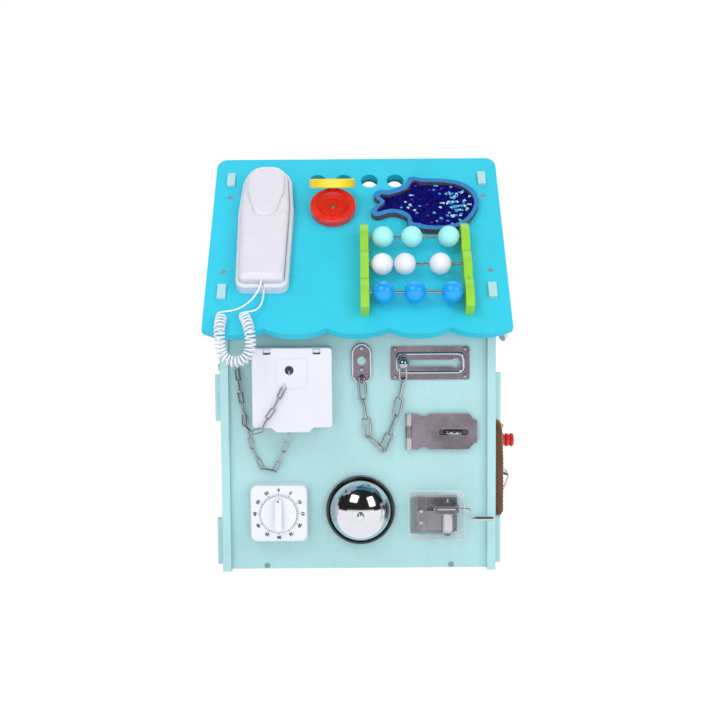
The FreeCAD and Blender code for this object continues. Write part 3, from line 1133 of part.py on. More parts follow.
ring_hole = Part.makeCompound([set_at(Part.makeTorus(RING_RADIUS, 1.0, Vector(0, 0, 2), Vector(1, 0, 0)),
                                      Placement(Vector(26, RING_UP, shoe_top), Rotation()))])
node(made("ShoePanel", shoe.cut(ring_hole), plaque), "shoe_panel")
node(made("ShoeRing", ring, ring_place), "shoe_ring")

# The lace runs through the ring, out in one loop and down the wall; its points are in the panel's own frame
LACE_ROUTE = [(12, -13, 20.5), (19, -12.5, 17.6), (27, -12, 17.2), (35, -11.5, 19), (41, -13, 26),
              (36, -19, 31),
              (30, -29, 27), (28, -42, 20), (30, -56, 16.5), (31, -72, 14), (31.5, -88, 11), (32, -100, 8.5)]
LACE_RADIUS = 1.3


def eased_radius(points, share=0.45):
    """The bend radius at each inner point: a share of the shorter run, over the tangent of half the turn."""
    def radius(i):
        before, after = points[i] - points[i - 1], points[i + 1] - points[i]
        return share * min(before.Length, after.Length) / math.tan(before.getAngle(after) / 2)
    return radius


lace_points = [Vector(*point) for point in LACE_ROUTE]
lace_bends = eased_radius(lace_points)
print("lace bends", [round(lace_bends(i), 1) for i in range(1, len(lace_points) - 1)])
lace_path = Part.Wire(bent_wire(lace_points, lace_bends))
lace_section = Part.Wire(Part.makeCircle(LACE_RADIUS, lace_points[0], lace_points[1] - lace_points[0]))
lace = lace_path.makePipeShell([lace_section], True, False)
aglet_way = (lace_points[0] - lace_points[1]).normalize()
aglet = Part.makeCone(LACE_RADIUS + 0.5, LACE_RADIUS * 0.8, 11, lace_points[0] + aglet_way * 0.1, aglet_way)
node(made("ShoeLace", Part.makeCompound([lace, aglet]), plaque), "shoe_lace")


def ribbed(radius, length, ribs):
    """A knob turned with round ribs."""
    pitch = length / ribs
    points = [(0, 0.3), (radius - 1.4, 0.3)]
    for i in range(ribs):
        low = 0.3 + i * pitch
        points.append((radius - 1.4, low + 0.2 * pitch))
        points.append((radius - 1.4, low + 0.2 * pitch, radius, low + 0.6 * pitch))
        points.append((radius - 1.4, low + pitch))
    points.append((0, points[-1][1]))
    return turned_shape(points)


red_place = on_right(z.button_y, z.button_z, z.plaque_thick + 3 + 0.2)
red = ribbed(z.ribbed_radius, z.ribbed_length - z.plaque_thick - 3, 3).fuse(
    Part.makeCylinder(STEM, z.plaque_thick + 3 + 8, Vector(0, 0, -z.plaque_thick - 3 - 7)))
node(made("RedBolt", red.removeSplitter(), red_place), "red_bolt")
yellow_place = on_right(z.yellow_y, z.yellow_z, z.plaque_thick + 3 + 0.2)
yellow = turned_shape([(0, 0), (7.5, 0), (7.5, 2.4), (6.6, 3.2), (0, 3.2)])
wing = at_middle(13, 4.4, 2, 2, z.button_thick, 0)
wing = wing.makeFillet(1, rim_edges(wing, z.button_thick))
yellow_stem = z.plaque_thick + 3 + 7
yellow = yellow.fuse(wing).fuse(Part.makeCylinder(STEM, yellow_stem + 0.5, Vector(0, 0, -yellow_stem)))
node(made("YellowTurnButton", yellow.removeSplitter(), yellow_place), "yellow_turn_button")
chrome_place = on_right(z.chrome_y, z.chrome_z, 0.3)
long, wide = z.chrome_length, z.chrome_radius
chrome = turned_shape([(0, 0), (8, 0), (8, 1.6, 4.9, 2.1), (4, 3.4), (4, long - 11, wide * 0.86, long - 8.6),
                       (wide, long - 4.4, wide * 0.75, long - 1.3), (2, long), (0, long)])
chrome = chrome.fuse(Part.makeCylinder(STEM, 8, Vector(0, 0, -7.5)))
node(made("ChromeKnob", chrome.removeSplitter(), chrome_place), "chrome_knob")
stem_bores = []
for place, down in ((red_place, z.plaque_thick + 3.2), (yellow_place, z.plaque_thick + 3.2),
                    (chrome_place, 0.3)):
    stem_bores.append(set_at(Part.makeCylinder(STEM + 0.05, 9, Vector(0, 0, -8.2 - down)), place))

# Left wall: a small open hook

hook_place = on_left(z.hook_y, z.hook_z)
hook_points = [Vector(0, -4, -7), Vector(0, -4, 9), Vector(0, 4, 9.001), Vector(0, 5, 5)]
hook_path = Part.Wire(bent_wire(hook_points, z.hook_wire * 1.4))
hook_section = Part.Wire(Part.makeCircle(z.hook_wire, hook_points[0], Vector(0, 0, 1)))
hook = hook_path.makePipeShell([hook_section], True, False)
hook = hook.fuse(turned_shape([(0, 0), (5, 0), (5, 0.8), (4, 1.4), (0, 1.4)]).translated(Vector(0, -4, 0)))
node(made("LeftHook", hook.removeSplitter(), hook_place), "left_hook")
hook_bore = set_at(Part.makeCylinder(z.hook_wire + 0.1, 8, Vector(0, -4, -7.4)), hook_place)

# Curly cord of the phone: a lead, the curls, and a lead back to the cradle


def roof_place(x, down, out):
    return on_roof(x, down, out).Base


handset_end = z.phone_top + z.phone_length - z.cradle_rim - z.handset_gap
LEAD_OUT = [roof_place(-112, handset_end, 19), roof_place(-112, handset_end + 5, 19),
            roof_place(-115, 227, 16.5), roof_place(-121.5, 235.5, 11.5), roof_place(-131, 243.5, 9),
            roof_place(-141, 250.5, 10)]
COIL_LINE = [roof_place(-156.5, 256.5, 7.4), Vector(-157.5, -176, 302), Vector(-157, -182, 289),
             Vector(-156.5, -182, 276), Vector(-154.2, -182, 267.3), Vector(-147.8, -182, 260.8),
             Vector(-139, -182, 258.5), Vector(-130.2, -182, 260.8), Vector(-123.8, -182, 267.3),
             Vector(-121.5, -182, 276), Vector(-122, -182, 289), Vector(-124.5, -176, 302),
             roof_place(-130.5, 256.5, 7.4)]
LEAD_BACK = [roof_place(-118.5, 251, 9), roof_place(-113.5, 243.5, 6.5), roof_place(-110.5, 234.5, 6),
             roof_place(-109.7, 226, 6.4), roof_place(-109.7, z.phone_top + z.phone_length, 6.4)]
coil_line = Part.Wire(bent_wire(COIL_LINE, eased_radius(COIL_LINE)))
curls = int(z.coil_turns)
steps = 2 * curls
centres = coil_line.discretize(Number=steps + 1)
headings = []
for i, centre in enumerate(centres):
    headings.append((centres[min(i + 1, steps)] - centres[max(i - 1, 0)]).normalize())
pace = coil_line.Length / steps
knots = []
for i, (centre, heading) in enumerate(zip(centres, headings)):
    side_way = heading.cross(Vector(0, 1, 0)).normalize()
    up_way = heading.cross(side_way)
    angle = math.pi * (i + 0.5)
    spoke = side_way * math.cos(angle) + up_way * math.sin(angle)
    sweep_way = up_way * math.cos(angle) - side_way * math.sin(angle)
    knots.append((centre + spoke * z.coil_radius,
                  (sweep_way * (math.pi * z.coil_radius) + heading * pace).normalize()))


def arc_between(start, control, end):
    """The arc that leaves start towards the control point and reaches end from it."""
    chord = end - start
    slant = chord.getAngle(control - start)
    middle = (start + end) * 0.5
    lift_share = math.tan(slant / 2) / math.tan(slant)
    return Part.Arc(start, middle + (control - middle) * lift_share, end).toShape()


def biarc(start, start_way, end, end_way):
    across = end - start
    both = start_way + end_way
    spread = 4 - both.dot(both)
    lean = across.dot(both)
    reach = (-lean + math.sqrt(lean ** 2 + spread * across.dot(across))) / spread
    first, second = start + start_way * reach, end - end_way * reach
    meeting = (first + second) * 0.5
    return [arc_between(start, first, meeting), arc_between(meeting, second, end)]


coil_edges = []
for (start, start_way), (end, end_way) in zip(knots, knots[1:]):
    coil_edges += biarc(start, start_way, end, end_way)
lead_in = LEAD_OUT + [knots[0][0] - knots[0][1] * 6, knots[0][0]]
lead_off = [knots[-1][0], knots[-1][0] + knots[-1][1] * 6] + LEAD_BACK
in_bends, off_bends = eased_radius(lead_in), eased_radius(lead_off)
print("lead bends", [round(in_bends(i), 1) for i in range(1, len(lead_in) - 1)],
      [round(off_bends(i), 1) for i in range(1, len(lead_off) - 1)])
cord_wire = Part.Wire(bent_wire(lead_in, in_bends) + coil_edges + bent_wire(lead_off, off_bends))
first_way = (lead_in[1] - lead_in[0]).normalize()
hexagon = [Vector(z.cord_wire / 2 * math.cos(math.pi * i / 3), z.cord_wire / 2 * math.sin(math.pi * i / 3), 0)
           for i in range(7)]
section = Part.makePolygon(hexagon)
section.Placement = Placement(lead_in[0], Rotation(Vector(0, 0, 1), first_way))
cord = cord_wire.makePipeShell([section], True, False)
coil_points = [point for edge in coil_edges for point in edge.discretize(Number=5)[:-1]]
least = min((a - b).Length for i, a in enumerate(coil_points) for b in coil_points[i + 9:i + 60])
print("curly cord length", round(cord_wire.Length), "least gap between curls", round(least - z.cord_wire, 2),
      "volume share", round(cord.Volume / (cord_wire.Length * 1.5 * math.sqrt(3) * (z.cord_wire / 2) ** 2),
                            3))
node(made("HandsetCord", cord), "handset_cord")

# Holes for the screws and stems, and the finished boards

front_holes = [eye_hole] + corner_holes + keeper_screws + track_screws + leaf_screws
roof_holes = [base_hole]
node(cut("FrontPanelDone", front_body, [made("ScrewHoles", screw_cutters),
                                        made("FrontPilots", Part.makeCompound(front_holes))]), "front_panel")
back_holes = made("BackScrewHoles", screw_cutters)
node(cut("BackPanelDone", back_body, [back_holes]), "back_panel")
node(cut("BaseDone", base, [made("BaseScrewHoles", screw_cutters)]), "base_board")
node(cut("LeftSideDone", left_body, [tenon_cutter, made("LeftHoles",
                                                        Part.makeCompound([screw_cutters, hook_bore]))]),
     "left_side_panel")
node(cut("RightSideDone", right_body, [tenon_cutter,
                                       made("RightHoles", Part.makeCompound([screw_cutters] + stem_bores))]),
     "right_side_panel")
for label, board in roofs.items():
    tools = [made(label + "_screw_holes", screw_cutters)]
    if label == "front_roof_board":
        tools.append(made("RoofPilots", Part.makeCompound(roof_holes)))
    node(cut(label + "_done", board, tools), label)
node(made("SmallScrews", Part.makeCompound(fitting_screws)), "small_screws")

# Checks, and one file for each node

doc.recompute()
broken = [thing.Name for thing in doc.Objects if "Invalid" in thing.State or "Error" in thing.State]
broken += [thing.Label for thing in nodes if thing.Shape.isNull() or not thing.Shape.isValid()]
if broken:
    raise RuntimeError("these did not build: " + ", ".join(broken))
os.makedirs("parts", exist_ok=True)
for thing in nodes:
    thing.Shape.exportStep("parts/%s.step" % thing.Label)
print(len(nodes), "nodes")
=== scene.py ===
"""Finishes, cords, chains and small parts of the wooden busy board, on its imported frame. Metres, +Z up."""
import json
import math
import random

import bmesh
import bpy
import numpy as np
from mathutils import Matrix, Vector
from mathutils.bvhtree import BVHTree


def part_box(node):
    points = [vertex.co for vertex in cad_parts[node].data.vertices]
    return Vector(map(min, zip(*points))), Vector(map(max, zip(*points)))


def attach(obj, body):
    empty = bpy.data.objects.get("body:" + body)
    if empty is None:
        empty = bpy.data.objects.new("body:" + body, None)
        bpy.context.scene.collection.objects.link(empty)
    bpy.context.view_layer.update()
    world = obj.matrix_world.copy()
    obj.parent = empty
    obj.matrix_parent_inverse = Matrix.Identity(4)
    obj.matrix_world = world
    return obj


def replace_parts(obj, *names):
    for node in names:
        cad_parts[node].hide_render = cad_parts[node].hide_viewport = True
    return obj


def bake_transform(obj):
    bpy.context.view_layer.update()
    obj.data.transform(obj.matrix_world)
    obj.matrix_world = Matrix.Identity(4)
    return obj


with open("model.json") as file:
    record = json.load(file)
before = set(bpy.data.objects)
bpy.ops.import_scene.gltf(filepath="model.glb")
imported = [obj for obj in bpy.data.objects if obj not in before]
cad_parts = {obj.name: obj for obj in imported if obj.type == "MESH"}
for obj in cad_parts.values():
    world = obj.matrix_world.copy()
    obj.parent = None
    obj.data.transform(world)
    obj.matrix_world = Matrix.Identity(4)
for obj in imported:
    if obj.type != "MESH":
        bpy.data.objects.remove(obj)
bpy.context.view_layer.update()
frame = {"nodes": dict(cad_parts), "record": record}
nodes = frame["nodes"]
body_for = {node: body for body, names in frame["record"]["behaviour"]["bodies"].items() for node in names}
slot_for = {part["node"]: part["material_slot"] for part in frame["record"]["subparts"]}

MM = 0.001
SLOPE = math.radians(52.25)
RIDGE = 509.2
FRONT = -120.0
SIDE = 165.0


# Places on the house, given in millimetres

def roof_axes():
    """Across the house, up the front slope, and out of it."""
    run, rise = math.cos(SLOPE), math.sin(SLOPE)
    return Vector((1, 0, 0)), Vector((0, run, rise)), Vector((0, -rise, run))


def on_roof(x, down, out=0.0):
    """A point of the front roof: across, down the slope from the ridge, and out of the board."""
    right, up, away = roof_axes()
    return (Vector((0, 0, RIDGE)) + right * x - up * down + away * out) * MM


def on_front(x, up, out=0.0):
    """A point of the front wall: across, up from the ground, and out of the wall."""
    return Vector((x, FRONT - out, up)) * MM


def on_right(y, up, out=0.0):
    """A point of the right wall, in the same way."""
    return Vector((SIDE + out, y, up)) * MM


def turned_to(right, up, away, place):
    """The matrix that stands a piece modelled on XY, facing +Z, at a place."""
    matrix = Matrix((right, up, away)).transposed().to_4x4()
    matrix.translation = place
    return matrix


def front_frame(x, up, out=0.0):
    return turned_to(Vector((1, 0, 0)), Vector((0, 0, 1)), Vector((0, -1, 0)), on_front(x, up, out))


def roof_frame(x, down, out=0.0):
    return turned_to(*roof_axes(), on_roof(x, down, out))


def right_frame(y, up, out=0.0):
    return turned_to(Vector((0, 1, 0)), Vector((0, 0, 1)), Vector((1, 0, 0)), on_right(y, up, out))


def shown(name, data):
    """An object of the scene, at the origin."""
    thing = bpy.data.objects.new(name, data)
    bpy.context.scene.collection.objects.link(thing)
    return thing


# Camera and light

PHOTO_LENS, PHOTO_SENSOR, PHOTO_PITCH, PHOTO_ROLL = 50.0, 36.0, 4.2, 0.44
PHOTO_PLACE = (2.8, -1318.0, 343.5)
camera = shown("photo_camera", bpy.data.cameras.new("photo_camera"))
camera.data.lens = PHOTO_LENS
camera.data.sensor_width = PHOTO_SENSOR
camera.data.clip_end = 20.0
camera.matrix_world = (Matrix.Translation(Vector(PHOTO_PLACE) * MM)
                       @ Matrix.Rotation(math.radians(90 - PHOTO_PITCH), 4, "X")
                       @ Matrix.Rotation(math.radians(-PHOTO_ROLL), 4, "Z"))
bpy.context.scene.camera = camera
bpy.context.scene.view_settings.view_transform = "Standard"


def lamp(name, place, aim, size, power):
    light = shown(name, bpy.data.lights.new(name, "AREA"))
    light.data.shape = "RECTANGLE"
    light.data.size, light.data.size_y = size
    light.data.energy = power
    light.location = place
    light.rotation_euler = (Vector(aim) - Vector(place)).to_track_quat("-Z", "Y").to_euler()
    return light


# Soft studio light, mostly from the upper left
lamp("key_softbox", (-0.9, -1.7, 1.9), (0, 0, 0.28), (1.1, 1.1), 14)
lamp("fill_softbox", (1.4, -1.5, 1.3), (0, 0, 0.25), (0.9, 1.3), 9)
lamp("front_softbox", (0.1, -2.2, 0.3), (0, 0, 0.18), (2.6, 0.7), 18).visible_glossy = False
lamp("top_softbox", (0.0, 0.5, 2.3), (0, 0, 0.3), (1.6, 1.2), 5.5)


def fed(tree, shader, inputs):
    """Sets each input of a shader node to a value, or links it to a socket."""
    for key, value in inputs.items():
        if isinstance(value, bpy.types.NodeSocket):
            tree.links.new(value, shader.inputs[key])
        else:
            shader.inputs[key].default_value = value


def shader_node(tree, kind, inputs=None, **settings):
    made = tree.nodes.new(kind)
    for key, value in settings.items():
        setattr(made, key, value)
    fed(tree, made, inputs or {})
    return made


def seen_rays(tree):
    """One for rays from the camera, off gloss and through glass, which all show the white studio."""
    path = shader_node(tree, "ShaderNodeLightPath").outputs
    total = path["Is Camera Ray"]
    for kind in ("Is Glossy Ray", "Is Transmission Ray"):
        total = shader_node(tree, "ShaderNodeMath", {0: total, 1: path[kind]}, operation="MAXIMUM").outputs[0]
    return total


def studio_world():
    world = bpy.data.worlds.new("studio")
    bpy.context.scene.world = world
    world.use_nodes = True
    tree = world.node_tree
    tree.nodes.clear()
    # The light that falls on the toy, and the white that shows
    given = shader_node(tree, "ShaderNodeBackground", {"Color": (0.93, 0.96, 1.0, 1), "Strength": 0.58})
    seen = shader_node(tree, "ShaderNodeBackground", {"Color": (1, 1, 1, 1), "Strength": 1.0})
    mix = shader_node(tree, "ShaderNodeMixShader", {0: seen_rays(tree), 1: given.outputs[0], 2: seen.outputs[0]})
    shader_node(tree, "ShaderNodeOutputWorld", {"Surface": mix.outputs[0]})


studio_world()


# Finishes

def tone(red, green, blue):
    """A colour as it looks on a screen, 0 to 255, in the shader's linear values."""
    linear = []
    for part in (red, green, blue):
        share = part / 255
        linear.append(share / 12.92 if share <= 0.04045 else ((share + 0.055) / 1.055) ** 2.4)
    return tuple(linear) + (1.0,)


def shaded(colour, factor):
    return tuple(max(0.0, min(1.0, part * factor)) for part in colour[:3]) + (1.0,)


class Finish:
    """A material with its shader, and short ways to add what a real surface shows."""

    def __init__(self, name, colour, roughness, metallic=0.0, coat=0.0, specular=0.5):
        self.material = bpy.data.materials.new(name)
        self.material.use_nodes = True
        self.tree = self.material.node_tree
        self.shader = self.tree.nodes["Principled BSDF"]
        self.colour = colour
        self.feed({"Base Color": colour, "Roughness": roughness, "Metallic": metallic, "Coat Weight": coat,
                   "Coat Roughness": 0.08, "Specular IOR Level": specular})
        self.place = self.new("ShaderNodeTexCoord").outputs["Object"]
        self.height = None

    def new(self, kind, inputs=None, **settings):
        return shader_node(self.tree, kind, inputs, **settings)

    def feed(self, inputs):
        fed(self.tree, self.shader, inputs)
        return self

    def noise(self, scale, detail=3.0, roughness=0.55, stretch=(1, 1, 1)):
        place = self.new("ShaderNodeMapping", {"Scale": stretch, "Vector": self.place}).outputs["Vector"]
        return self.new("ShaderNodeTexNoise", {"Scale": scale, "Detail": detail, "Roughness": roughness,
                                               "Vector": place}).outputs["Fac"]

    def cells(self, scale, output="Distance"):
        inputs = {"Scale": scale, "Vector": self.place}
        return self.new("ShaderNodeTexVoronoi", inputs, feature="F1").outputs[output]

    def ramp(self, value, low, high, first=0.0, last=1.0):
        """The value spread between two levels."""
        return self.new("ShaderNodeMapRange", {"Value": value, "From Min": low, "From Max": high, "To Min": first,
                                               "To Max": last}).outputs["Result"]

    def mixed(self, factor, first, second):
        return self.new("ShaderNodeMix", {0: factor, 6: first, 7: second}, data_type="RGBA").outputs[2]

    def tinted(self, value, dark, light, low=0.3, high=0.7):
        """The finish's own colour between two shades of it."""
        return self.mixed(self.ramp(value, low, high), shaded(self.colour, dark), shaded(self.colour, light))

    def streaked(self, value, low, high, most, base, shade):
        """A base with streaks of another shade of the finish's colour."""
        return self.mixed(self.ramp(value, low, high, 0.0, most), base, shaded(self.colour, shade))

    def larger(self, first, second):
        return self.new("ShaderNodeMath", {0: first, 1: second}, operation="MAXIMUM").outputs[0]

    def paint(self, socket):
        return self.feed({"Base Color": socket})

    def rough(self, value, low, high):
        return self.feed({"Roughness": self.ramp(value, 0.3, 0.7, low, high)})

    def bump(self, value, strength, distance):
        inputs = {"Strength": strength, "Distance": distance, "Height": value}
        if self.height is not None:
            inputs["Normal"] = self.height
        self.height = self.new("ShaderNodeBump", inputs).outputs["Normal"]
        return self.feed({"Normal": self.height})


def painted_board(name, colour, grain, roughness=0.42):
    """Roller paint on birch plywood: faint clouds, drawn grain under the coat, and an orange-peel surface."""
    finish = Finish(name, colour, roughness, specular=0.35)
    clouds = finish.noise(9, 3)
    streaks = finish.noise(60, 4, 0.6, grain)
    finish.paint(finish.streaked(streaks, 0.52, 0.72, 0.3, finish.tinted(clouds, 0.95, 1.04), 0.84))
    finish.rough(finish.noise(140, 2), roughness - 0.06, roughness + 0.1)
    finish.bump(streaks, 0.12, 0.0004).bump(finish.noise(900, 2), 0.1, 0.00015)
    return finish.material


def lacquered_wood(name, colour, roughness=0.25, coat=0.5):
    """Gloss toy lacquer over turned or cut wood."""
    finish = Finish(name, colour, roughness, coat=coat)
    clouds = finish.noise(40, 3)
    streaks = finish.noise(130, 4, 0.6, (1, 1, 6))
    finish.paint(finish.streaked(streaks, 0.55, 0.75, 0.28, finish.tinted(clouds, 0.93, 1.05), 0.8))
    finish.rough(clouds, roughness - 0.05, roughness + 0.08)
    finish.bump(streaks, 0.08, 0.0003).bump(finish.noise(1100, 2), 0.05, 0.0001)
    return finish.material


def moulded_plastic(name, colour, roughness, coat):
    """Injection-moulded plastic: a fine grain, handling marks and slightly uneven gloss."""
    finish = Finish(name, colour, roughness, coat=coat)
    clouds = finish.noise(22, 3)
    finish.paint(finish.tinted(clouds, 1, 0.982, 0.35))
    finish.rough(finish.noise(75, 4), roughness - 0.05, roughness + 0.08)
    finish.bump(finish.noise(1500, 2), 0.05, 0.00008)
    return finish.material


def edge_wear(finish, width):
    """One at a rim or corner, zero on flat ground: a painted rim highlight, on steel partly rims rubbed bright.
    """
    rounded = finish.new("ShaderNodeBevel", {"Radius": width}, samples=6).outputs["Normal"]
    flat = finish.new("ShaderNodeNewGeometry").outputs["True Normal"]
    facing = finish.new("ShaderNodeVectorMath", {0: rounded, 1: flat}, operation="DOT_PRODUCT")
    return finish.ramp(facing.outputs["Value"], 0.985, 0.8, 0.0, 0.9)


def worn_steel(name, colour, roughness, brush, dark=0.72):
    """Plated steel: fine brush lines, darker clouds, and bright rims, partly rubbed and partly a painted
    highlight.
    """
    finish = Finish(name, colour, roughness, metallic=1.0)
    lines = finish.noise(320, 5, 0.65, brush)
    clouds = finish.noise(28, 4)
    drawn = finish.streaked(lines, 0.42, 0.66, 0.6, finish.tinted(clouds, 1, dark, 0.38, 0.68), 1.45)
    # Light grey on the rims: a painted highlight, partly rims rubbed bright
    finish.paint(finish.mixed(edge_wear(finish, 0.0009), drawn, (0.86, 0.86, 0.88, 1)))
    finish.rough(lines, roughness - 0.08, roughness + 0.14)
    finish.bump(lines, 0.09, 0.00012).bump(finish.noise(210, 3), 0.05, 0.0002)
    return finish.material


def bright_plate(name, colour, roughness):
    """Bright chrome with fingerprints that only dull the shine."""
    finish = Finish(name, colour, roughness, metallic=1.0)
    smears = finish.noise(55, 5, 0.65)
    finish.paint(finish.streaked(smears, 0.45, 0.75, 0.5, colour, 0.88))
    finish.rough(smears, roughness, roughness + 0.1)
    finish.bump(finish.noise(90, 2), 0.02, 0.0002)
    return finish.material


def clear_plastic(name):
    """Clear styrene: a thin wall, white where it turns away as painted sheen, with faint waves and handling haze.
    """
    finish = Finish(name, (0.94, 0.97, 1.0, 1.0), 0.05)
    # The wall turns opaque white where it turns away: a painted reflection
    turning = finish.new("ShaderNodeLayerWeight", {"Blend": 0.35}).outputs["Facing"]
    haze = finish.noise(60, 4)
    body = finish.ramp(turning, 0.3, 0.95, 0.03, 0.62)
    sheen_and_haze = finish.larger(body, finish.ramp(haze, 0.55, 0.8, 0.03, 0.08))
    # The rims turn opaque white too: a painted highlight
    finish.feed({"Alpha": finish.larger(sheen_and_haze, edge_wear(finish, 0.0014))})
    finish.rough(haze, 0.03, 0.16)
    finish.bump(finish.noise(35, 2), 0.05, 0.0003)
    return finish.material


def grained_leather(name, colour):
    """Brown leather: pebbled grain, with darker and worn clouds."""
    finish = Finish(name, colour, 0.5, specular=0.4)
    pebbles = finish.cells(620)
    clouds = finish.noise(30, 4)
    finish.paint(finish.streaked(pebbles, 0.35, 0.75, 0.5, finish.tinted(clouds, 0.75, 1.25), 0.55))
    finish.rough(clouds, 0.42, 0.62)
    finish.bump(pebbles, 0.5, -0.0005).bump(finish.noise(160, 4), 0.25, 0.0005)
    return finish.material


def burnt_edge_board(name, colour, edge, away):
    """Painted face and laser-browned cut edge, told apart by the way a face looks."""
    finish = Finish(name, colour, 0.4, specular=0.35)
    normal = finish.new("ShaderNodeTexCoord").outputs["Normal"]
    facing = finish.new("ShaderNodeVectorMath", {0: normal, 1: away}, operation="DOT_PRODUCT")
    scorch = finish.noise(220, 4)
    clouds = finish.noise(35, 3)
    face = finish.tinted(clouds, 0.9, 1.08)
    side = finish.mixed(finish.ramp(scorch, 0.35, 0.65), shaded(edge, 0.6), shaded(edge, 1.3))
    finish.paint(finish.mixed(finish.ramp(facing.outputs["Value"], 0.45, 0.75), side, face))
    finish.rough(scorch, 0.35, 0.6)
    finish.bump(finish.noise(90, 4, 0.6, (1, 6, 6)), 0.1, 0.0004)
    return finish.material


def woven_cloth(name, colour):
    """Tight knit backing cloth."""
    finish = Finish(name, colour, 0.8)
    finish.feed({"Sheen Weight": 0.35})
    warp, weft = [finish.new("ShaderNodeTexWave", {"Scale": 380, "Vector": finish.place}, wave_type="BANDS",
                             bands_direction=way).outputs["Fac"] for way in ("X", "Z")]
    weave = finish.larger(warp, weft)
    finish.paint(finish.mixed(weave, shaded(colour, 0.6), shaded(colour, 1.2)))
    finish.bump(weave, 0.3, 0.0002)
    return finish.material


def sequin_film(name):
    """Holographic film; each disc has its own tone in the mesh's colour attribute."""
    finish = Finish(name, (0.05, 0.08, 0.3, 1), 0.24, metallic=0.3, coat=0.5)
    tones = finish.new("ShaderNodeVertexColor", layer_name="disc_tone").outputs["Color"]
    sparkle = finish.cells(900, "Color")
    fleck = finish.new("ShaderNodeMix", {0: 0.2, 6: tones, 7: sparkle}, data_type="RGBA", blend_type="OVERLAY")
    finish.paint(fleck.outputs[2])
    finish.bump(finish.noise(700, 2), 0.12, 0.0001)
    return finish.material


ROOF_BLUE, WALL_MINT = tone(47, 197, 222), tone(171, 212, 214)
FINISHES = {name: make(name, *settings) for name, make, *settings in (
    ("roof_paint", painted_board, ROOF_BLUE, (1, 7, 7)),
    ("wall_paint", painted_board, WALL_MINT, (7, 7, 0.8)),
    ("plywood", painted_board, tone(214, 186, 142), (1, 9, 9), 0.6),
    ("black_screw", moulded_plastic, tone(132, 158, 166), 0.4, 0.1),
    ("small_screw", worn_steel, tone(176, 174, 172), 0.28, (1, 1, 1)),
    ("phone_white", moulded_plastic, tone(219, 216, 225), 0.26, 0.35),
    ("cord_white", moulded_plastic, tone(238, 238, 242), 0.38, 0.1),
    ("castanet_red", lacquered_wood, tone(230, 36, 32), 0.3, 0.4),
    ("castanet_yellow", lacquered_wood, tone(246, 214, 44)),
    ("frame_blue", burnt_edge_board, tone(40, 124, 190), tone(96, 78, 80), roof_axes()[2]),
    ("sequin_cloth", woven_cloth, tone(40, 46, 150)),
    ("bracket_green", lacquered_wood, tone(146, 206, 52), 0.35, 0.2),
    ("steel_rod", worn_steel, tone(180, 176, 176), 0.25, (0.4, 6, 6)),
    ("bead_mint", lacquered_wood, tone(164, 236, 234), 0.45, 0.1),
    ("bead_white", lacquered_wood, tone(230, 231, 235), 0.4, 0.15),
    ("bead_blue", lacquered_wood, tone(10, 156, 236), 0.24, 0.25),
    ("socket_white", moulded_plastic, tone(217, 218, 226), 0.34, 0.15),
    ("lock_black", moulded_plastic, tone(26, 26, 30), 0.22, 0.5),
    ("chain_silver", bright_plate, tone(186, 184, 187), 0.1),
    ("dark_steel", worn_steel, tone(138, 129, 138), 0.2, (0.3, 6, 6), 0.5),
    ("timer_white", moulded_plastic, tone(226, 229, 238), 0.24, 0.4),
    ("bell_chrome", bright_plate, tone(224, 224, 228), 0.05),
    ("bell_black", moulded_plastic, tone(24, 24, 26), 0.2, 0.6),
    ("bell_steel", worn_steel, tone(160, 160, 160), 0.3, (1, 1, 1)),
    ("music_clear", clear_plastic),
    ("music_steel", worn_steel, tone(206, 204, 206), 0.18, (1, 5, 5)),
    ("music_brass", worn_steel, tone(206, 200, 202), 0.14, (1, 1, 6)),
    ("leather_brown", grained_leather, tone(112, 72, 50)),
    ("ring_steel", bright_plate, tone(190, 190, 190), 0.15),
    ("lace_white", woven_cloth, tone(242, 242, 240)),
    ("button_red", moulded_plastic, tone(222, 36, 34), 0.25, 0.4),
    ("button_yellow", moulded_plastic, tone(244, 212, 54), 0.25, 0.4),
    ("knob_chrome", bright_plate, tone(214, 214, 218), 0.07),
)}
# Darker steel; on the staple's plate and the worm's bridge its darkness is painted shade
SHADED_STEEL = worn_steel("shaded_steel", tone(96, 90, 98), 0.26, (1, 5, 5))
# Nodes whose own finish differs from the one of their slot
OWN_FINISH = {
    "music_bedplate": SHADED_STEEL,
    "music_comb": worn_steel("comb_steel", tone(124, 118, 124), 0.2, (5, 1, 1)),
    "hasp_staple": FINISHES["chain_silver"],
    "hasp_leaf": FINISHES["ring_steel"],
}


# Ways to make pieces

def headed(way):
    """The matrix that turns +Z along a way."""
    return way.to_track_quat("Z", "Y").to_matrix().to_4x4()


def plain_mesh(bm, name):
    mesh = bpy.data.meshes.new(name)
    bm.to_mesh(mesh)
    bm.free()
    return mesh


def moved(bm, matrix):
    bmesh.ops.transform(bm, matrix=matrix, verts=bm.verts)


def smooth_by_angle(mesh, degrees):
    for face in mesh.polygons:
        face.use_smooth = True
    mesh.set_sharp_from_angle(angle=math.radians(degrees))
    return mesh


def added(name, mesh, body, slot, material=None):
    """A finished piece at the origin, riding on its body."""
    piece = shown(name, mesh)
    mesh.materials.clear()
    mesh.materials.append(material or FINISHES[slot])
    # Flat faces keep one shade, and only the eased corners between them turn
    flat = piece.modifiers.new("flat_shading", "WEIGHTED_NORMAL")
    flat.keep_sharp = True
    flat.weight = 60
    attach(piece, body)
    return piece


def solid(name, bm, body, slot, material=None, degrees=35):
    """A finished piece whose faces are smooth, other than at creases sharper than an angle."""
    return added(name, smooth_by_angle(plain_mesh(bm, name), degrees), body, slot, material)


def eased(bm, edges, width):
    """Rounds edges off, by a width in millimetres."""
    bmesh.ops.bevel(bm, geom=edges, offset=width * MM, offset_type="OFFSET", segments=2, profile=0.5,
                    affect="EDGES", clamp_overlap=True, material=-1)


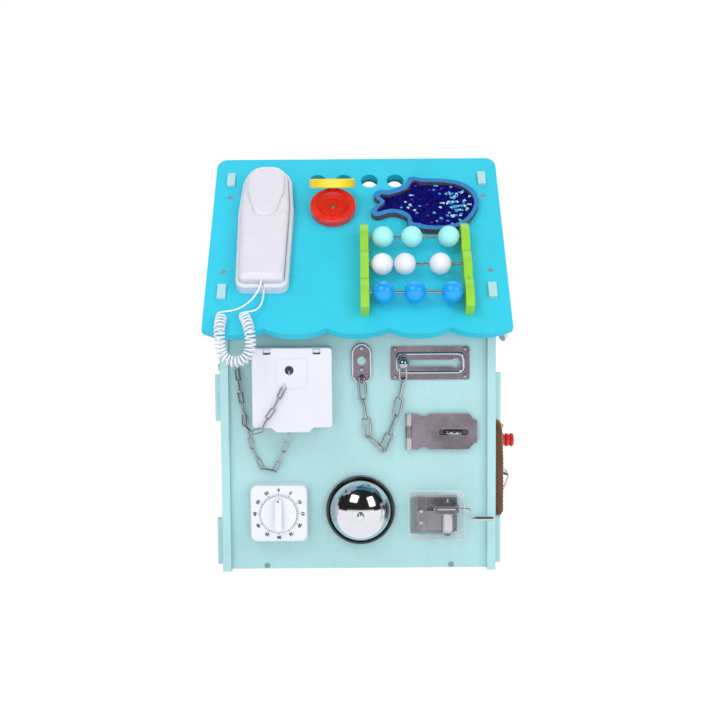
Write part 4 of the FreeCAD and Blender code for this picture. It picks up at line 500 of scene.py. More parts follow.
def cone(segments, low, high, depth):
    """A cone or prism round Z, by its radii and depth in millimetres."""
    bm = bmesh.new()
    bmesh.ops.create_cone(bm, cap_ends=True, segments=segments, radius1=low * MM, radius2=high * MM,
                          depth=depth * MM)
    return bm


def joined_copy(node, flat=False):
    """The node's surface with its triangles joined, and on request its flat faces made whole."""
    bm = bmesh.new()
    bm.from_mesh(nodes[node].data)
    bmesh.ops.remove_doubles(bm, verts=bm.verts, dist=2e-6)
    if flat:
        bmesh.ops.dissolve_limit(bm, angle_limit=math.radians(0.8), verts=bm.verts, edges=bm.edges)
    return bm


def edges_over(bm, degrees):
    """The edges where two faces turn by more than an angle."""
    limit = math.radians(degrees)
    return [edge for edge in bm.edges if len(edge.link_faces) == 2 and edge.calc_face_angle(0) > limit]


def eased_copy(node, width):
    """Stands for a CAD node, with its corners eased as a maker sands or moulds them."""
    bm = joined_copy(node, flat=True)
    eased(bm, edges_over(bm, 30), width)
    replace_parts(solid(node + "_finished", bm, body_for[node], slot_for[node], OWN_FINISH.get(node)), node)


def add_spline(data, points, closed):
    spline = data.splines.new("NURBS")
    spline.points.add(len(points) - 1)
    for place, point in zip(spline.points, points):
        place.co = (*point, 1)
    spline.order_u = 3
    spline.use_cyclic_u = closed
    spline.use_endpoint_u = not closed


def wire(name, points, radius=0.0, ring=0, resolution=24, closed=False):
    """A smooth round wire along points in metres, or only its line when it has no radius."""
    data = bpy.data.curves.new(name, "CURVE")
    data.dimensions = "3D"
    data.bevel_depth = radius
    data.bevel_resolution = ring
    data.resolution_u = resolution
    data.use_fill_caps = not closed
    add_spline(data, points, closed)
    return data


def baked(data):
    """The mesh that a curve or a text makes."""
    holder = bpy.data.objects.new(data.name, data)
    mesh = bpy.data.meshes.new_from_object(holder)
    bpy.data.objects.remove(holder)
    return mesh


def gathered(meshes):
    """Several placed meshes as one."""
    bm = bmesh.new()
    for mesh, matrix in meshes:
        start = len(bm.verts)
        bm.from_mesh(mesh)
        bm.verts.ensure_lookup_table()
        bmesh.ops.transform(bm, matrix=matrix, verts=bm.verts[start:])
    return bm


def islands(node):
    """Each solid of a node: its middle, its axes from longest to shortest, their lengths and its points."""
    bm = joined_copy(node)
    bm.verts.ensure_lookup_table()
    seen, found = set(), []
    for first in bm.verts:
        if first.index in seen:
            continue
        waiting, members = [first], []
        seen.add(first.index)
        while waiting:
            vert = waiting.pop()
            members.append(vert.co.copy())
            for edge in vert.link_edges:
                other = edge.other_vert(vert)
                if other.index not in seen:
                    seen.add(other.index)
                    waiting.append(other)
        found.append(np.array(members))
    bm.free()
    rows = []
    for cloud in found:
        axes = np.linalg.eigh(np.cov((cloud - cloud.mean(axis=0)).T))[1][:, ::-1].T
        spans = []
        for axis in axes:
            along = cloud @ axis
            spans.append((along.min(), along.max()))
        axes = [Vector(axis) for axis in axes]
        centre = sum((axis * ((low + high) / 2) for axis, (low, high) in zip(axes, spans)), Vector())
        rows.append((centre, axes, [high - low for low, high in spans], cloud))
    return rows


# The phone's curly cord: a lead, the curls, and a lead back to the cradle

PHONE_X, PHONE_FOOT = -112, 219
HANDSET_END = PHONE_FOOT - 4.9
LEAD_OUT = [on_roof(*point) for point in (
    (PHONE_X, HANDSET_END, 19), (PHONE_X, HANDSET_END + 5, 19), (-115, 227, 16.5), (-121.5, 235.5, 11.5),
    (-131, 243.5, 9), (-141, 250.5, 10))]
COIL_LINE = [on_roof(-156.5, 256.5, 7.4)] + [Vector(point) * MM for point in (
    (-157.5, -176, 302), (-157, -182, 289), (-156.5, -182, 276), (-154.2, -182, 267.3), (-147.8, -182, 260.8),
    (-139, -182, 258.5), (-130.2, -182, 260.8), (-123.8, -182, 267.3), (-121.5, -182, 276), (-122, -182, 289),
    (-124.5, -176, 302))] + [on_roof(-130.5, 256.5, 7.4)]
LEAD_BACK = [on_roof(*point) for point in (
    (-118.5, 251, 9), (-113.5, 243.5, 6.5), (-110.5, 234.5, 6), (-109.7, 226, 6.4), (-109.7, PHONE_FOOT, 6.4))]
CORD_THICK, COIL_RADIUS, COIL_TURNS, POINTS_A_TURN = 2.1, 5.4, 30, 14


def spline_line(points, resolution=24):
    """Points read from the smooth line of a route."""
    mesh = baked(wire("route", points, resolution=resolution))
    line = [vert.co.copy() for vert in mesh.vertices]
    bpy.data.meshes.remove(mesh)
    return line


def length_of(line):
    return sum((b - a).length for a, b in zip(line, line[1:]))


def evenly(line, count):
    """Places and headings at equal steps along a line."""
    lengths = [0.0]
    for a, b in zip(line, line[1:]):
        lengths.append(lengths[-1] + (b - a).length)
    rows, at = [], 0
    for i in range(count + 1):
        wanted = lengths[-1] * i / count
        while at < len(line) - 2 and lengths[at + 1] < wanted:
            at += 1
        share = (wanted - lengths[at]) / max(lengths[at + 1] - lengths[at], 1e-9)
        rows.append((line[at].lerp(line[at + 1], share), (line[at + 1] - line[at]).normalized()))
    return rows


def curly_cord():
    count = COIL_TURNS * POINTS_A_TURN
    # A quadratic spline cuts inside its own corners, so the control points stand a little further out
    reach = COIL_RADIUS * MM / ((1 + math.cos(2 * math.pi / POINTS_A_TURN)) / 2)
    curls = []
    for i, (place, heading) in enumerate(evenly(spline_line(COIL_LINE), count)):
        side = heading.cross(Vector((0, 1, 0))).normalized()
        up = heading.cross(side)
        angle = 2 * math.pi * i / POINTS_A_TURN + math.pi / 2
        curls.append(place + (side * math.cos(angle) + up * math.sin(angle)) * reach)
    points = LEAD_OUT + curls + LEAD_BACK
    name = "handset_curly_cord"
    cord = shown(name, wire(name, points, CORD_THICK / 2 * MM, ring=2, resolution=3))
    cord.data.materials.append(FINISHES["cord_white"])
    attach(cord, "root")
    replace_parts(cord, "handset_cord")
    length = length_of(spline_line(points, 3))


curly_cord()


# The lace through the ring of the lacing panel

PLAQUE_Y, PLAQUE_Z = -62, 117
LACE_ROUTE = [(12, -13, 20.5), (19, -12.5, 17.6), (27, -12, 17.2), (35, -11.5, 19), (41, -13, 26), (36, -19, 31),
              (30, -29, 27), (28, -42, 20), (30, -56, 16.5), (31, -72, 14), (31.5, -88, 11), (32, -100, 8.5)]
LACE_THICK = 2.6
TIP_LONG, TIP_WIDE, TIP_NARROW = 11, 3.6, 2.1


def lace():
    points = [on_right(PLAQUE_Y + across, PLAQUE_Z + up, out) for across, up, out in LACE_ROUTE]
    cord = shown("lacing_cord", wire("lacing_cord", points, LACE_THICK / 2 * MM, ring=4, resolution=10))
    cord.data.materials.append(FINISHES["lace_white"])
    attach(cord, "root")
    way = (points[0] - points[1]).normalized()
    bm = cone(20, TIP_WIDE / 2, TIP_NARROW / 2, TIP_LONG)
    eased(bm, edges_over(bm, 60), 0.3)
    place = Matrix.Translation(points[0] + way * (TIP_LONG / 2 + 0.1) * MM) @ headed(way)
    moved(bm, place)
    aglet = solid("lace_tip", bm, "root", "lace_white",
                  moulded_plastic("lace_tip_green", tone(30, 150, 90), 0.25, 0.4))
    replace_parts(cord, "shoe_lace")
    length = length_of(spline_line(points))


lace()


# Boards and hard pieces that keep their CAD shape, with eased corners

EASED = {
    "front_roof_board": 1.0, "back_roof_board": 1.0, "front_panel": 0.6, "back_panel": 0.6,
    "left_side_panel": 0.6, "right_side_panel": 0.6, "base_board": 0.5, "abacus_brackets": 1.2,
    "castanet_base": 0.5, "castanet_lid": 0.5, "phone_cradle": 0.5, "socket_box": 0.5, "socket_lid": 0.35,
    "socket_insert": 0.4, "socket_plug": 0.3, "lid_key": 0.25, "keeper_plate": 0.2, "track_plate": 0.25,
    "hasp_leaf": 0.25, "hasp_strap": 0.3, "hasp_staple": 0.25, "timer_case": 0.3, "timer_knob": 0.3,
    "bell_base": 0.3, "music_tray": 0.3, "music_cover": 0.3, "music_bedplate": 0.3, "music_comb": 0.08,
    "bell_hammer": 0.3, "chrome_knob": 0.2, "yellow_turn_button": 0.3, "left_hook": 0.2, "bell_button": 0.15,
}
for node, width in EASED.items():
    eased_copy(node, width)
SMOOTH = ["phone_handset", "bell_dome", "red_bolt", "shoe_ring", "screw_eye", "music_crank", "abacus_rods",
          "music_cylinder"]
SMOOTH += ["%s_bead_%d" % (colour, i) for colour in ("mint", "white", "blue") for i in (1, 2, 3)]
HANDSET_SEAT, HANDSET_SHARE = 7.3, 0.66
# Where four places along the CAD crank go; the first number of each row holds the rest of it still
CRANK_FROM, CRANK_TO = (-500, 127.2, 143.0, 149.0, 160.2), (-500, 127.2, 129.4, 135.4, 160.2)


def lowered_handset(vert):
    """The photographed handset lies lower in its cradle than the solid that stands for a hand's grip."""
    away = roof_axes()[2]
    rise = (vert.co - on_roof(0, 0, HANDSET_SEAT)).dot(away)
    vert.co -= away * max(rise, 0.0) * (1 - HANDSET_SHARE)


def bent_crank(vert):
    """The photographed crank bends down close to the box and has a long grip."""
    vert.co.x = float(np.interp(vert.co.x / MM, CRANK_FROM, CRANK_TO)) * MM


RESHAPED = {"phone_handset": lowered_handset, "music_crank": bent_crank}
for node in SMOOTH:
    bm = joined_copy(node)
    if node in RESHAPED:
        for vert in bm.verts:
            RESHAPED[node](vert)
    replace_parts(solid(node + "_finished", bm, body_for[node], slot_for[node], degrees=32), node)


def small_block(name, size, easing, matrix, body, slot, material):
    """A small plate or bar with eased edges."""
    bm = bmesh.new()
    bmesh.ops.create_cube(bm, size=1.0)
    moved(bm, Matrix.Diagonal((*(Vector(size) * MM), 1)))
    eased(bm, bm.edges[:], easing)
    moved(bm, matrix)
    solid(name, bm, body, slot, material)


# The dark plate behind the strap's slot, a painted shade, the key's bright blade, and the bridge over the music
# box's worm
small_block("staple_shade_plate", (41, 15, 1.8), 0.5, front_frame(114.5, 168, 0.95), "root", "dark_steel", SHADED_STEEL)
key_low, key_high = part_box("lid_key")
small_block("key_blade", (1.6, 6.0, 1.6), 0.4,
            front_frame((key_low[0] + key_high[0]) / 2 / MM, (key_low[2] + key_high[2]) / 2 / MM - 0.6,
                        FRONT - key_low[1] / MM), body_for["lid_key"], "lock_black", FINISHES["chain_silver"])
BRIDGE_X = 103.5
# Over the worm, the bridge's darker steel is painted shade and the bright band a painted highlight
small_block("governor_bridge", (22, 9.6, 1.6), 0.4, front_frame(BRIDGE_X, 79, 33), "root", "music_steel",
            SHADED_STEEL)
small_block("governor_highlight_band", (21, 1.9, 0.7), 0.2, front_frame(BRIDGE_X, 80.4, 34.1), "root", "music_steel",
            FINISHES["chain_silver"])
# The thin clear walls let the light through
for node in ("music_tray", "music_cover"):
    bpy.data.objects[node + "_finished"].visible_shadow = False


# Chains: every link a round welded ring of wire, where its CAD link stands

FINE_LINK, DOOR_LINK = (17, 6.6, 1.85), (27.4, 11, 2.9)    # length, width and wire
WELD, LENGTH_SLACK, KEY_LINKS = 1.14, 0.8, 11


def stadium(length, width, thick, bends=9):
    """The middle line of a link, as closely spaced points."""
    run, bow = (length - width) / 2, (width - thick) / 2
    points = []
    for end in (1, -1):
        for i in range(bends + 1):
            angle = math.pi * (i / bends - 0.5)
            points.append(Vector((end * (run + bow * math.cos(angle)), end * bow * math.sin(angle), 0)))
    return points


def link_mesh(length, width, thick):
    mesh = baked(wire("link", stadium(length, width, thick), thick / 2, ring=3, resolution=2, closed=True))
    # The weld: a low swelling in the middle of one long side
    for vert in mesh.vertices:
        if vert.co.y > 0 and abs(vert.co.x) < thick:
            middle = Vector((vert.co.x, (width - thick) / 2, 0))
            vert.co = middle + (vert.co - middle) * WELD
    return mesh


def links_of(node, length, width, thick):
    """A placed link for every solid of that length in the node, in the order the chain runs."""
    master = link_mesh(length * MM, width * MM, thick * MM)
    placed = []
    for centre, axes, spans, _ in islands(node):
        if abs(spans[0] / MM - length) > LENGTH_SLACK:
            continue
        along, across = axes[0].normalized(), axes[1].normalized()
        matrix = Matrix((along, across, along.cross(across))).transposed().to_4x4()
        matrix.translation = centre
        placed.append((master, matrix))
    return placed


def chain_piece(name, links, body):
    return solid(name, gathered(links), body, "chain_silver", degrees=60)


fine_links = links_of("fine_chains", *FINE_LINK)
key_chain = chain_piece("key_chain_links", fine_links[:KEY_LINKS], "root")
plug_chain = chain_piece("plug_chain_links", fine_links[KEY_LINKS:], "root")
door_chain = chain_piece("door_chain_links", links_of("door_chain", *DOOR_LINK), "root")
chain_piece("door_chain_last_link", links_of("chain_knob", *DOOR_LINK), "knob")
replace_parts(key_chain, "fine_chains")
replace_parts(plug_chain, "fine_chains")
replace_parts(door_chain, "door_chain")
# Each chain leaves its body, its place baked into its mesh; each row's lid or knob and end points are unused
for chain, mover, start, end in ((key_chain, "lid", (-0.139, -0.15, 0.24), (-0.092, -0.15, 0.24)),
                                 (door_chain, "knob", (0.010, -0.13, 0.2), (0.050, -0.13, 0.2))):
    chain.parent = None
    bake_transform(chain)


# Turned pieces and pressed ribs

def turned(points, steps):
    """The surface that a line of radius and height, in millimetres, sweeps round +Z."""
    bm = bmesh.new()
    verts = [bm.verts.new((radius * MM, 0, height * MM)) for radius, height in points]
    edges = [bm.edges.new(pair) for pair in zip(verts, verts[1:])]
    bmesh.ops.spin(bm, geom=verts + edges, cent=(0, 0, 0), axis=(0, 0, 1), angle=2 * math.pi, steps=steps,
                   use_merge=True)
    bmesh.ops.remove_doubles(bm, verts=bm.verts, dist=1e-6)
    return bm


def turned_piece(name, points, frame_matrix, body, slot, steps=64, material=None):
    """A turned piece that stands on a frame's outward axis."""
    bm = turned(points, steps)
    bmesh.ops.recalc_face_normals(bm, faces=bm.faces)
    moved(bm, frame_matrix)
    return solid(name, bm, body, slot, material, 40)


def arc_points(centre, radius, start, end, count):
    """Points of an arc, its angles in degrees."""
    angles = [math.radians(start + (end - start) * i / count) for i in range(count + 1)]
    return [(centre[0] + radius * math.cos(angle), centre[1] + radius * math.sin(angle)) for angle in angles]


def bright_rib(name, width, height, corner, x, up, out, thick):
    """A pressed rib, a closed loop of round section, whose bright chrome is a painted highlight on the crest."""
    points = []
    for i, (side, level) in enumerate(((1, 1), (-1, 1), (-1, -1), (1, -1))):
        middle = (side * (width / 2 - corner), level * (height / 2 - corner))
        points += [Vector((px, py, 0)) * MM for px, py in arc_points(middle, corner, i * 90, i * 90 + 90, 6)]
    mesh = baked(wire(name, points, thick / 2 * MM, ring=3, resolution=3, closed=True))
    mesh.transform(front_frame(x, up, out))
    added(name, smooth_by_angle(mesh, 60), "root", "dark_steel", FINISHES["knob_chrome"])


# Chrome ribs on the dark keeper and track plates: a painted highlight
bright_rib("keeper_rib", 21.8, 46.3, 10.7, 4.6, 251.5, 3.2, 3.2)
bright_rib("track_rib", 79.5, 22.5, 7, 86.8, 251.6, 4.4, 3.4)
turned_piece("keeper_boss", [(1.6, 1.6), (1.6, 3.4), (2.6, 4.6), (4.0, 4.4), (5.0, 3.0), (5.2, 1.6), (1.6, 1.6)],
             front_frame(4.6, 233), "root", "dark_steel", 40, FINISHES["chain_silver"])

# The chain knob: a foot inside the track's channel, a neck through its slot, and a ball
KNOB_X, TRACK_Z, CHANNEL, NECK, BALL = 54, 251.6, 4.7, 2.9, 7
BALL_OUT, NECK_ANGLE = CHANNEL + 10.4, math.degrees(math.acos(NECK / BALL))
knob_points = [(0, 1.3), (5.0, 1.3), (5.2, 1.5), (5.2, 2.4), (5.0, 2.6), (NECK, 2.6), (NECK, CHANNEL + 3)]
knob_points += arc_points((0, BALL_OUT), BALL, -NECK_ANGLE, 90, 14)
chain_knob = turned_piece("chain_knob_ball", knob_points, front_frame(KNOB_X, TRACK_Z), "knob", "chain_silver")
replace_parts(chain_knob, "chain_knob")


# Screws with a cross recess, whose arms are shares of the head's width

RECESS_LONG, RECESS_WIDE, RECESS_TALL = 0.52, 0.11, 1.6


def cross_screw(head, high, shank, length, flat):
    """A screw along -Z with its head's seat at zero, and a cross-shaped recess."""
    if flat:
        points = [(0, 0), (head * 0.5 - 0.25, 0), (head / 2, -0.25), (head / 2, -0.4), (shank / 2, -0.4 - high)]
    else:
        points = [(0, high), (head * 0.3, high * 0.97), (head * 0.4, high * 0.82), (head * 0.475, high * 0.5),
                  (head / 2, high * 0.15), (head / 2, 0), (shank / 2, 0)]
    bm = turned(points + [(shank / 2, -length + 2), (0.1, -length)], 32)
    bmesh.ops.holes_fill(bm, edges=bm.edges, sides=0)
    bmesh.ops.recalc_face_normals(bm, faces=bm.faces)
    cutter = bmesh.new()
    top = 0 if flat else high
    for turn in (0, 90):
        made = bmesh.ops.create_cube(cutter, size=1.0)
        shape = (Matrix.Rotation(math.radians(turn), 4, "Z") @ Matrix.Translation((0, 0, top * MM))
                 @ Matrix.Diagonal((head * RECESS_LONG * MM, head * RECESS_WIDE * MM, RECESS_TALL * MM, 1)))
        bmesh.ops.transform(cutter, matrix=shape, verts=made["verts"])
    blank, tool = shown("blank", plain_mesh(bm, "blank")), shown("cross", plain_mesh(cutter, "cross"))
    carve = blank.modifiers.new("recess", "BOOLEAN")
    carve.object, carve.operation, carve.solver, carve.use_self = tool, "DIFFERENCE", "EXACT", True
    bpy.context.view_layer.update()
    done = bpy.data.meshes.new_from_object(blank.evaluated_get(bpy.context.evaluated_depsgraph_get()))
    for thing in (blank, tool):
        bpy.data.objects.remove(thing)
    return done


def screws(node, name, sizes, flat):
    """A detailed screw at every CAD screw, its sizes taken from the CAD one's length and width."""
    turns = random.Random(7)
    masters, placed = {}, []
    for centre, axes, spans, cloud in islands(node):
        axis = axes[0].normalized()
        head, shank, length, high = sizes(spans[0] / MM, spans[1] / MM)
        key = (round(head, 1), round(length, 1))
        if key not in masters:
            masters[key] = cross_screw(head, high, shank, length, flat)
        # The head is the end whose points lie further from the axis
        offsets = cloud - np.array(centre)
        along = offsets @ np.array(axis)
        spread = np.linalg.norm(offsets - np.outer(along, np.array(axis)), axis=1)
        if along[spread > spread.max() * 0.9].mean() < 0:
            axis = -axis
        matrix = headed(axis) @ Matrix.Rotation(turns.uniform(0, math.pi), 4, "Z")
        matrix.translation = centre + axis * (spans[0] / 2) - axis * ((0 if flat else high) * MM)
        placed.append((masters[key], matrix))
    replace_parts(solid(name, gathered(placed), "root", slot_for[node]), node)


def small_sizes(total, wide):
    """Head, shank, length and head's height of a dome-headed screw; the wider ones have lower heads."""
    high = 1.9 if wide < 5.5 else 1.75
    return wide, 2.8, total - high, high


def panel_sizes(total, wide):
    """The same for the flat-headed screws of the house, which are all alike."""
    return 7.0, 3.4, 28.0, 2.2


screws("small_screws", "fitting_screws", small_sizes, False)
screws("panel_screws", "house_screws", panel_sizes, True)


# Whale: a frame cut to the whale's outline, its cloth, and the sequins sewn on it

WHALE_X, WHALE_S, WHALE_THICK, CLOTH_TOP = 83, 85, 9, 4.0
WHALE_OUTLINE = [
    (69.5, 7.6), (66.4, 20.4), (54.8, 33), (36.7, 39.3), (16, 41), (-0.8, 41.5), (-11, 45.5), (-18.5, 42),
    (-19.6, 33), (-26.6, 27.6), (-37, 23.3), (-44.7, 20.8), (-52.5, 22.5), (-60.5, 18.5), (-62, 11.5),
    (-56.8, 5.8), (-52.5, 1.5), (-59.4, -5), (-65.5, -12.4), (-64, -19.5), (-56.3, -22.5), (-47.3, -17.8),
    (-37, -15.3), (-26.6, -19.6), (-19.6, -25), (-20.5, -34), (-18, -41), (-9.8, -40), (-0.8, -43.3),
    (16, -44.4), (36.7, -42.2), (52, -34), (63.8, -17.8), (69.5, -3.3)]
WHALE_WINDOW = [
    (64.4, 6), (60.8, 17.2), (51, 27.6), (35.4, 33.4), (16, 35.2), (-0.8, 35.2), (-9.8, 38.8), (-13.9, 35.5),
    (-16, 27), (-24, 20.6), (-35.7, 15.8), (-44.7, 13), (-51, 15.6), (-55.4, 12.6), (-50, 6.7), (-46.8, 2),
    (-52.5, -4.4), (-58.6, -11.6), (-57, -15.4), (-48.6, -11.6), (-37, -9.3), (-24, -13), (-15, -21.5),
    (-14.8, -33), (-7.2, -33.2), (1.8, -37), (16, -38.2), (35.4, -36.2), (49.6, -28.7), (59.4, -15.3),
    (64, -3.3)]


def cut_board(outlines, thick, easing, name):
    """A flat piece of closed outlines, the later ones being windows, with its underside on z = 0."""
    data = bpy.data.curves.new(name, "CURVE")
    data.dimensions = "2D"
    data.fill_mode = "BOTH"
    data.extrude = (thick / 2 - easing) * MM
    data.bevel_depth = easing * MM
    data.bevel_resolution = 2
    data.offset = -easing * MM
    data.resolution_u = 6
    for corners in outlines:
        add_spline(data, [(x * MM, y * MM, 0) for x, y in corners], True)
    bm = bmesh.new()
    bm.from_mesh(baked(data))
    bmesh.ops.translate(bm, vec=(0, 0, thick / 2 * MM), verts=bm.verts)
    bmesh.ops.remove_doubles(bm, verts=bm.verts, dist=1e-6)
    return bm


PITCH, ROW_STEP, DISC, MARGIN = 2.7, 0.84, 1.95, 1.3
PATCH_X, PATCH_DOWN, PATCH_WIDE, PATCH_TALL = 44, 1, 15, 20
DEEP = [tone(50, 46, 190), tone(40, 40, 172), tone(60, 50, 184), tone(34, 34, 152)]
BRIGHT = [tone(176, 232, 246), tone(228, 250, 252), tone(150, 214, 246)]
VIOLET = [tone(160, 126, 226), tone(112, 84, 206)]


def inside(x, y, corners):
    """Whether a point lies within a closed outline."""
    crossings = 0
    for (ax, ay), (bx, by) in zip(corners, corners[1:] + corners[:1]):
        if (ay > y) != (by > y) and x < ax + (y - ay) * (bx - ax) / (by - ay):
            crossings += 1
    return crossings % 2 == 1


def disc_look(dice, row, column, x, down):
    """A disc's colour and lift: a patch of flipped ones by the nose, and a few strays."""
    patch = math.exp(-((x - PATCH_X) / PATCH_WIDE) ** 2 - ((down - PATCH_DOWN) / PATCH_TALL) ** 2)
    band = math.sin(row * 1.9 + column * 0.35) > 0.1
    chance = dice.random()
    if chance < patch * 0.85 and band:
        return dice.choice(BRIGHT), 0.5
    if 0.3 < chance < 0.35 and x > -30:
        return dice.choice(BRIGHT + VIOLET), 0.4
    if chance > 0.985:
        return dice.choice(VIOLET), 0.3
    return dice.choice(DEEP), 0.15


def whale_toy():
    seat = roof_frame(WHALE_X, WHALE_S)
    bm = cut_board([WHALE_OUTLINE, WHALE_WINDOW], WHALE_THICK, 0.3, "whale")
    moved(bm, seat)
    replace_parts(solid("whale_cut_frame", bm, "root", "frame_blue", degrees=30), "whale_frame")
    bm = cut_board([WHALE_WINDOW], CLOTH_TOP - 0.6, 0.8, "cloth")
    moved(bm, seat @ Matrix.Translation((0, 0, 0.3 * MM)))
    cloth = solid("sequin_backing", bm, "root", "sequin_cloth", degrees=60)
    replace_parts(cloth, "sequin_panel")
    # Discs lie in offset rows like scales, each with its own tilt; flipped ones show the bright side
    dice = random.Random(21)
    discs = bmesh.new()
    layer = discs.loops.layers.color.new("disc_tone")
    for row in range(-20, 21):
        for column in range(-26, 26):
            x = column * PITCH + (row % 2) * PITCH / 2
            down = row * PITCH * ROW_STEP
            reach = [(x + MARGIN * math.cos(a), -down + MARGIN * math.sin(a)) for a in (0, 1.57, 3.14, 4.71)]
            if not all(inside(px, py, WHALE_WINDOW) for px, py in reach):
                continue
            colour, lift = disc_look(dice, row, column, x, down)
            made = bmesh.ops.create_circle(discs, cap_ends=True, segments=10, radius=DISC * MM)
            tilt = Matrix.Rotation(math.radians(dice.uniform(5, 14)), 4, "X")
            tilt @= Matrix.Rotation(math.radians(dice.uniform(-7, 7)), 4, "Y")
            matrix = roof_frame(WHALE_X + x, WHALE_S + down, CLOTH_TOP + 0.15 + lift) @ tilt
            bmesh.ops.transform(discs, matrix=matrix, verts=made["verts"])
            for face in {face for vert in made["verts"] for face in vert.link_faces}:
                for loop in face.loops:
                    loop[layer] = colour
    bmesh.ops.solidify(discs, geom=discs.faces, thickness=0.12 * MM)
    added("sequins", plain_mesh(discs, "sequins"), "root", "sequin_cloth", sequin_film("sequin_film"))


whale_toy()


# Timer: printed scale round the knob, and its pointer

TIMER_X, TIMER_Z, TIMER_OUT = -95.3, 74, 22
TICK_START, FIGURE_RING, FIGURE_SIZE, INK = 22.6, 28.4, 5.0, 0.06
LONG_TICK, SHORT_TICK = (2.6, 0.75), (1.5, 0.5)
POINTER_UP, POINTER_OUT = 17.2, 12.16


def figure_mesh(words):
    data = bpy.data.curves.new("figure", "FONT")
    data.body = words
    data.size = FIGURE_SIZE * MM
    data.align_x, data.align_y = "CENTER", "CENTER"
    data.extrude = INK / 2 * MM
    data.offset = 0.28 * MM
    return baked(data)


def timer_scale():
    face = front_frame(TIMER_X, TIMER_Z, TIMER_OUT + 0.05)
    bm = bmesh.new()
    bmesh.ops.create_cube(bm, size=1.0)
    tick = plain_mesh(bm, "tick")
    placed = []
    for minute in range(60):
        angle = -math.radians(minute * 6) + math.pi / 2
        way = Vector((math.cos(angle), math.sin(angle), 0)) * MM
        long, wide = LONG_TICK if minute % 5 == 0 else SHORT_TICK
        shape = Matrix.Rotation(angle, 4, "Z") @ Matrix.Diagonal((long * MM, wide * MM, INK * MM, 1))
        placed.append((tick, face @ Matrix.Translation(way * (TICK_START + long / 2)) @ shape))
        if minute % 5 == 0:
            turn = Matrix.Rotation(angle - math.pi / 2, 4, "Z")
            placed.append((figure_mesh(str(minute)), face @ Matrix.Translation(way * FIGURE_RING) @ turn))
    solid("timer_scale", gathered(placed), "root", "timer_white",
          moulded_plastic("black_print", tone(30, 30, 34), 0.5, 0.0), 30)


timer_scale()


def timer_pointer():
    bm = cone(3, 2.1, 2.1, 0.12)
    place = front_frame(TIMER_X, TIMER_Z + POINTER_UP, TIMER_OUT + POINTER_OUT)
    moved(bm, place @ Matrix.Rotation(math.radians(90), 4, "Z"))
    solid("timer_pointer", bm, "timer_dial", "timer_white",
          moulded_plastic("red_print", tone(200, 30, 34), 0.5, 0.0))


timer_pointer()


# Music box: the pins of the cylinder and the thread of the worm

DRUM_X, DRUM_Y, DRUM_LOW, DRUM_TALL, DRUM_RADIUS = 106, -136.7, 51.5, 22.9, 6.62
PIN_ROWS, PIN_STEPS = 18, 16
WORM_X, WORM_Y, WORM_Z = 99.8, -148, 79.5
WORM_RADIUS, WORM_PITCH, WORM_TURNS, WORM_STEPS = 2.72, 1.76, 7, 12


def music_pins():
    dice = random.Random(5)
    pin = plain_mesh(cone(6, 0.22, 0.14, 0.5), "pin")
    placed = []
    for row in range(PIN_ROWS):
        level = DRUM_LOW + (row + 0.5) * DRUM_TALL / PIN_ROWS
        for step in range(PIN_STEPS):
            if dice.random() > 0.5:
                continue
            angle = 2 * math.pi * (step + dice.uniform(-0.3, 0.3)) / PIN_STEPS
            outward = Vector((math.cos(angle), math.sin(angle), 0))
            matrix = headed(outward)
            matrix.translation = (Vector((DRUM_X, DRUM_Y, level)) + outward * DRUM_RADIUS) * MM
            placed.append((pin, matrix))
    solid("cylinder_pins", gathered(placed), "cylinder", "music_brass", degrees=40)


music_pins()


def worm_thread():
    points = []
    for i in range(WORM_TURNS * WORM_STEPS + 1):
        angle = 2 * math.pi * i / WORM_STEPS
        points.append(Vector((WORM_X + WORM_PITCH * i / WORM_STEPS, WORM_Y + WORM_RADIUS * math.cos(angle),
                              WORM_Z + WORM_RADIUS * math.sin(angle))) * MM)
    mesh = baked(wire("worm_thread", points, 0.32 * MM, ring=1, resolution=2))
    for face in mesh.polygons:
        face.use_smooth = True
    added("worm_thread", mesh, "crank", "music_steel")


worm_thread()


# Lacing panel: puffed leather, stitches and eyelets

PLAQUE_THICK, SEAM_IN, STITCH_STEP, PUFF = 13, 6, 4.6, 7.5
STITCH_LINE = [(-1.7, 0, -0.25), (-1.2, 0, 0.25), (1.2, 0, 0.25), (1.7, 0, -0.25)]
EYELETS = [(across, up) for up in (-30, -14, 2, 18) for across in (-14, 14)]


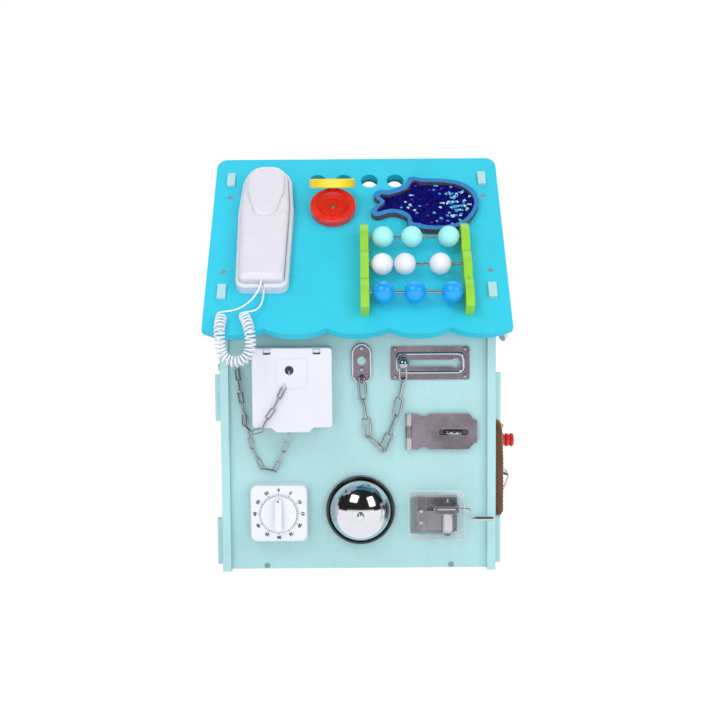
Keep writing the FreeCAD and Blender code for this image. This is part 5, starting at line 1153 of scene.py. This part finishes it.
def lacing_panel():
    leather = solid("leather_panel", joined_copy("shoe_panel", flat=True), "root", "leather_brown", degrees=40)
    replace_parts(leather, "shoe_panel")
    low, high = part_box("shoe_panel")
    tree = BVHTree.FromObject(leather, bpy.context.evaluated_depsgraph_get())
    middle = Vector((0, (low[1] + high[1]) / 2, (low[2] + high[2]) / 2))

    def seen_from_outside(point):
        return tree.ray_cast(point + Vector((high[0] + 0.02, 0, 0)), Vector((-1, 0, 0)))[:2]

    # The seam runs inside the outline, all the way round
    seam = []
    for degrees in range(360):
        way = Vector((0, math.cos(math.radians(degrees)), math.sin(math.radians(degrees))))
        for reach in range(90, 20, -1):
            place, _ = seen_from_outside(middle + way * reach * MM)
            if place is not None and place.x > high[0] - PUFF * MM:
                seam.append(middle + way * (reach - SEAM_IN) * MM)
                break
    line = [Vector(point) * MM for point in STITCH_LINE]
    stitch = baked(wire("stitch", line, 0.42 * MM, ring=2, resolution=4))
    placed, gone = [], 0.0
    for a, b in zip(seam, seam[1:] + seam[:1]):
        gone += (b - a).length
        if gone < STITCH_STEP * MM:
            continue
        gone = 0.0
        place, out = seen_from_outside(b)
        if place is None:
            continue
        out.normalize()
        across = out.cross((b - a).normalized()).normalized()
        placed.append((stitch, turned_to(across.cross(out), across, out, place + out * 0.15 * MM)))
    solid("leather_seam", gathered(placed), "root", "leather_brown",
          moulded_plastic("seam_thread", tone(214, 176, 118), 0.6, 0.0), 60)
    ring = arc_points((3.0, 0.25), 0.75, -60, 240, 12)
    for i, (across, up) in enumerate(EYELETS, start=1):
        place = right_frame(PLAQUE_Y + across, PLAQUE_Z + up, PLAQUE_THICK)
        turned_piece("eyelet_%d" % i, ring, place, "root", "ring_steel", 28)


lacing_panel()


# Every CAD node that still shows takes its slot's finish

for node, thing in nodes.items():
    thing.data.materials.clear()
    thing.data.materials.append(FINISHES[slot_for[node]])


# Floor and studio cards

WHITE_SHARE, WHITE_GLOW, FLOOR_WIDE = 0.72, 1.22, 12
CARDS = [
    ("card_behind", (0, -3.2, 1.95), "X", 90, (7.0, 3.1)),
    ("card_over", (0, -1.1, 3.5), "Z", 0, (7.0, 4.2)),
    ("card_left", (-3.5, -1.1, 1.8), "Y", 90, (3.4, 4.2)),
    ("card_right", (3.5, -1.1, 1.8), "Y", 90, (3.4, 4.2)),
]


def sheet(name, material, matrix):
    """A square of one metre, placed and stretched by the matrix."""
    bm = bmesh.new()
    bmesh.ops.create_grid(bm, x_segments=1, y_segments=1, size=0.5)
    moved(bm, matrix)
    thing = shown(name, plain_mesh(bm, name))
    thing.data.materials.append(material)
    return thing


def floor():
    """A floor that shows near white, with a soft shadow under the toy."""
    finish = Finish("studio_floor", (0.93, 0.93, 0.93, 1), 0.7)
    white = finish.new("ShaderNodeEmission", {"Strength": WHITE_GLOW}).outputs[0]
    share = finish.new("ShaderNodeMath", {0: seen_rays(finish.tree), 1: WHITE_SHARE}, operation="MULTIPLY")
    mix = finish.new("ShaderNodeMixShader", {0: share.outputs[0], 1: finish.shader.outputs[0], 2: white})
    fed(finish.tree, finish.tree.nodes["Material Output"], {"Surface": mix.outputs[0]})
    sheet("studio_floor", finish.material, Matrix.Diagonal((FLOOR_WIDE, FLOOR_WIDE, 1, 1)))


floor()


def dark_cards():
    """Dark studio cards behind, over and beside the camera, which only gloss and bright metal see."""
    material = Finish("dark_card", (0.02, 0.02, 0.022, 1), 0.9).material
    for name, place, axis, degrees, size in CARDS:
        shape = Matrix.Rotation(math.radians(degrees), 4, axis) @ Matrix.Diagonal((*size, 1, 1))
        card = sheet(name, material, Matrix.Translation(place) @ shape)
        card.visible_camera = card.visible_diffuse = card.visible_shadow = card.visible_transmission = False


dark_cards()
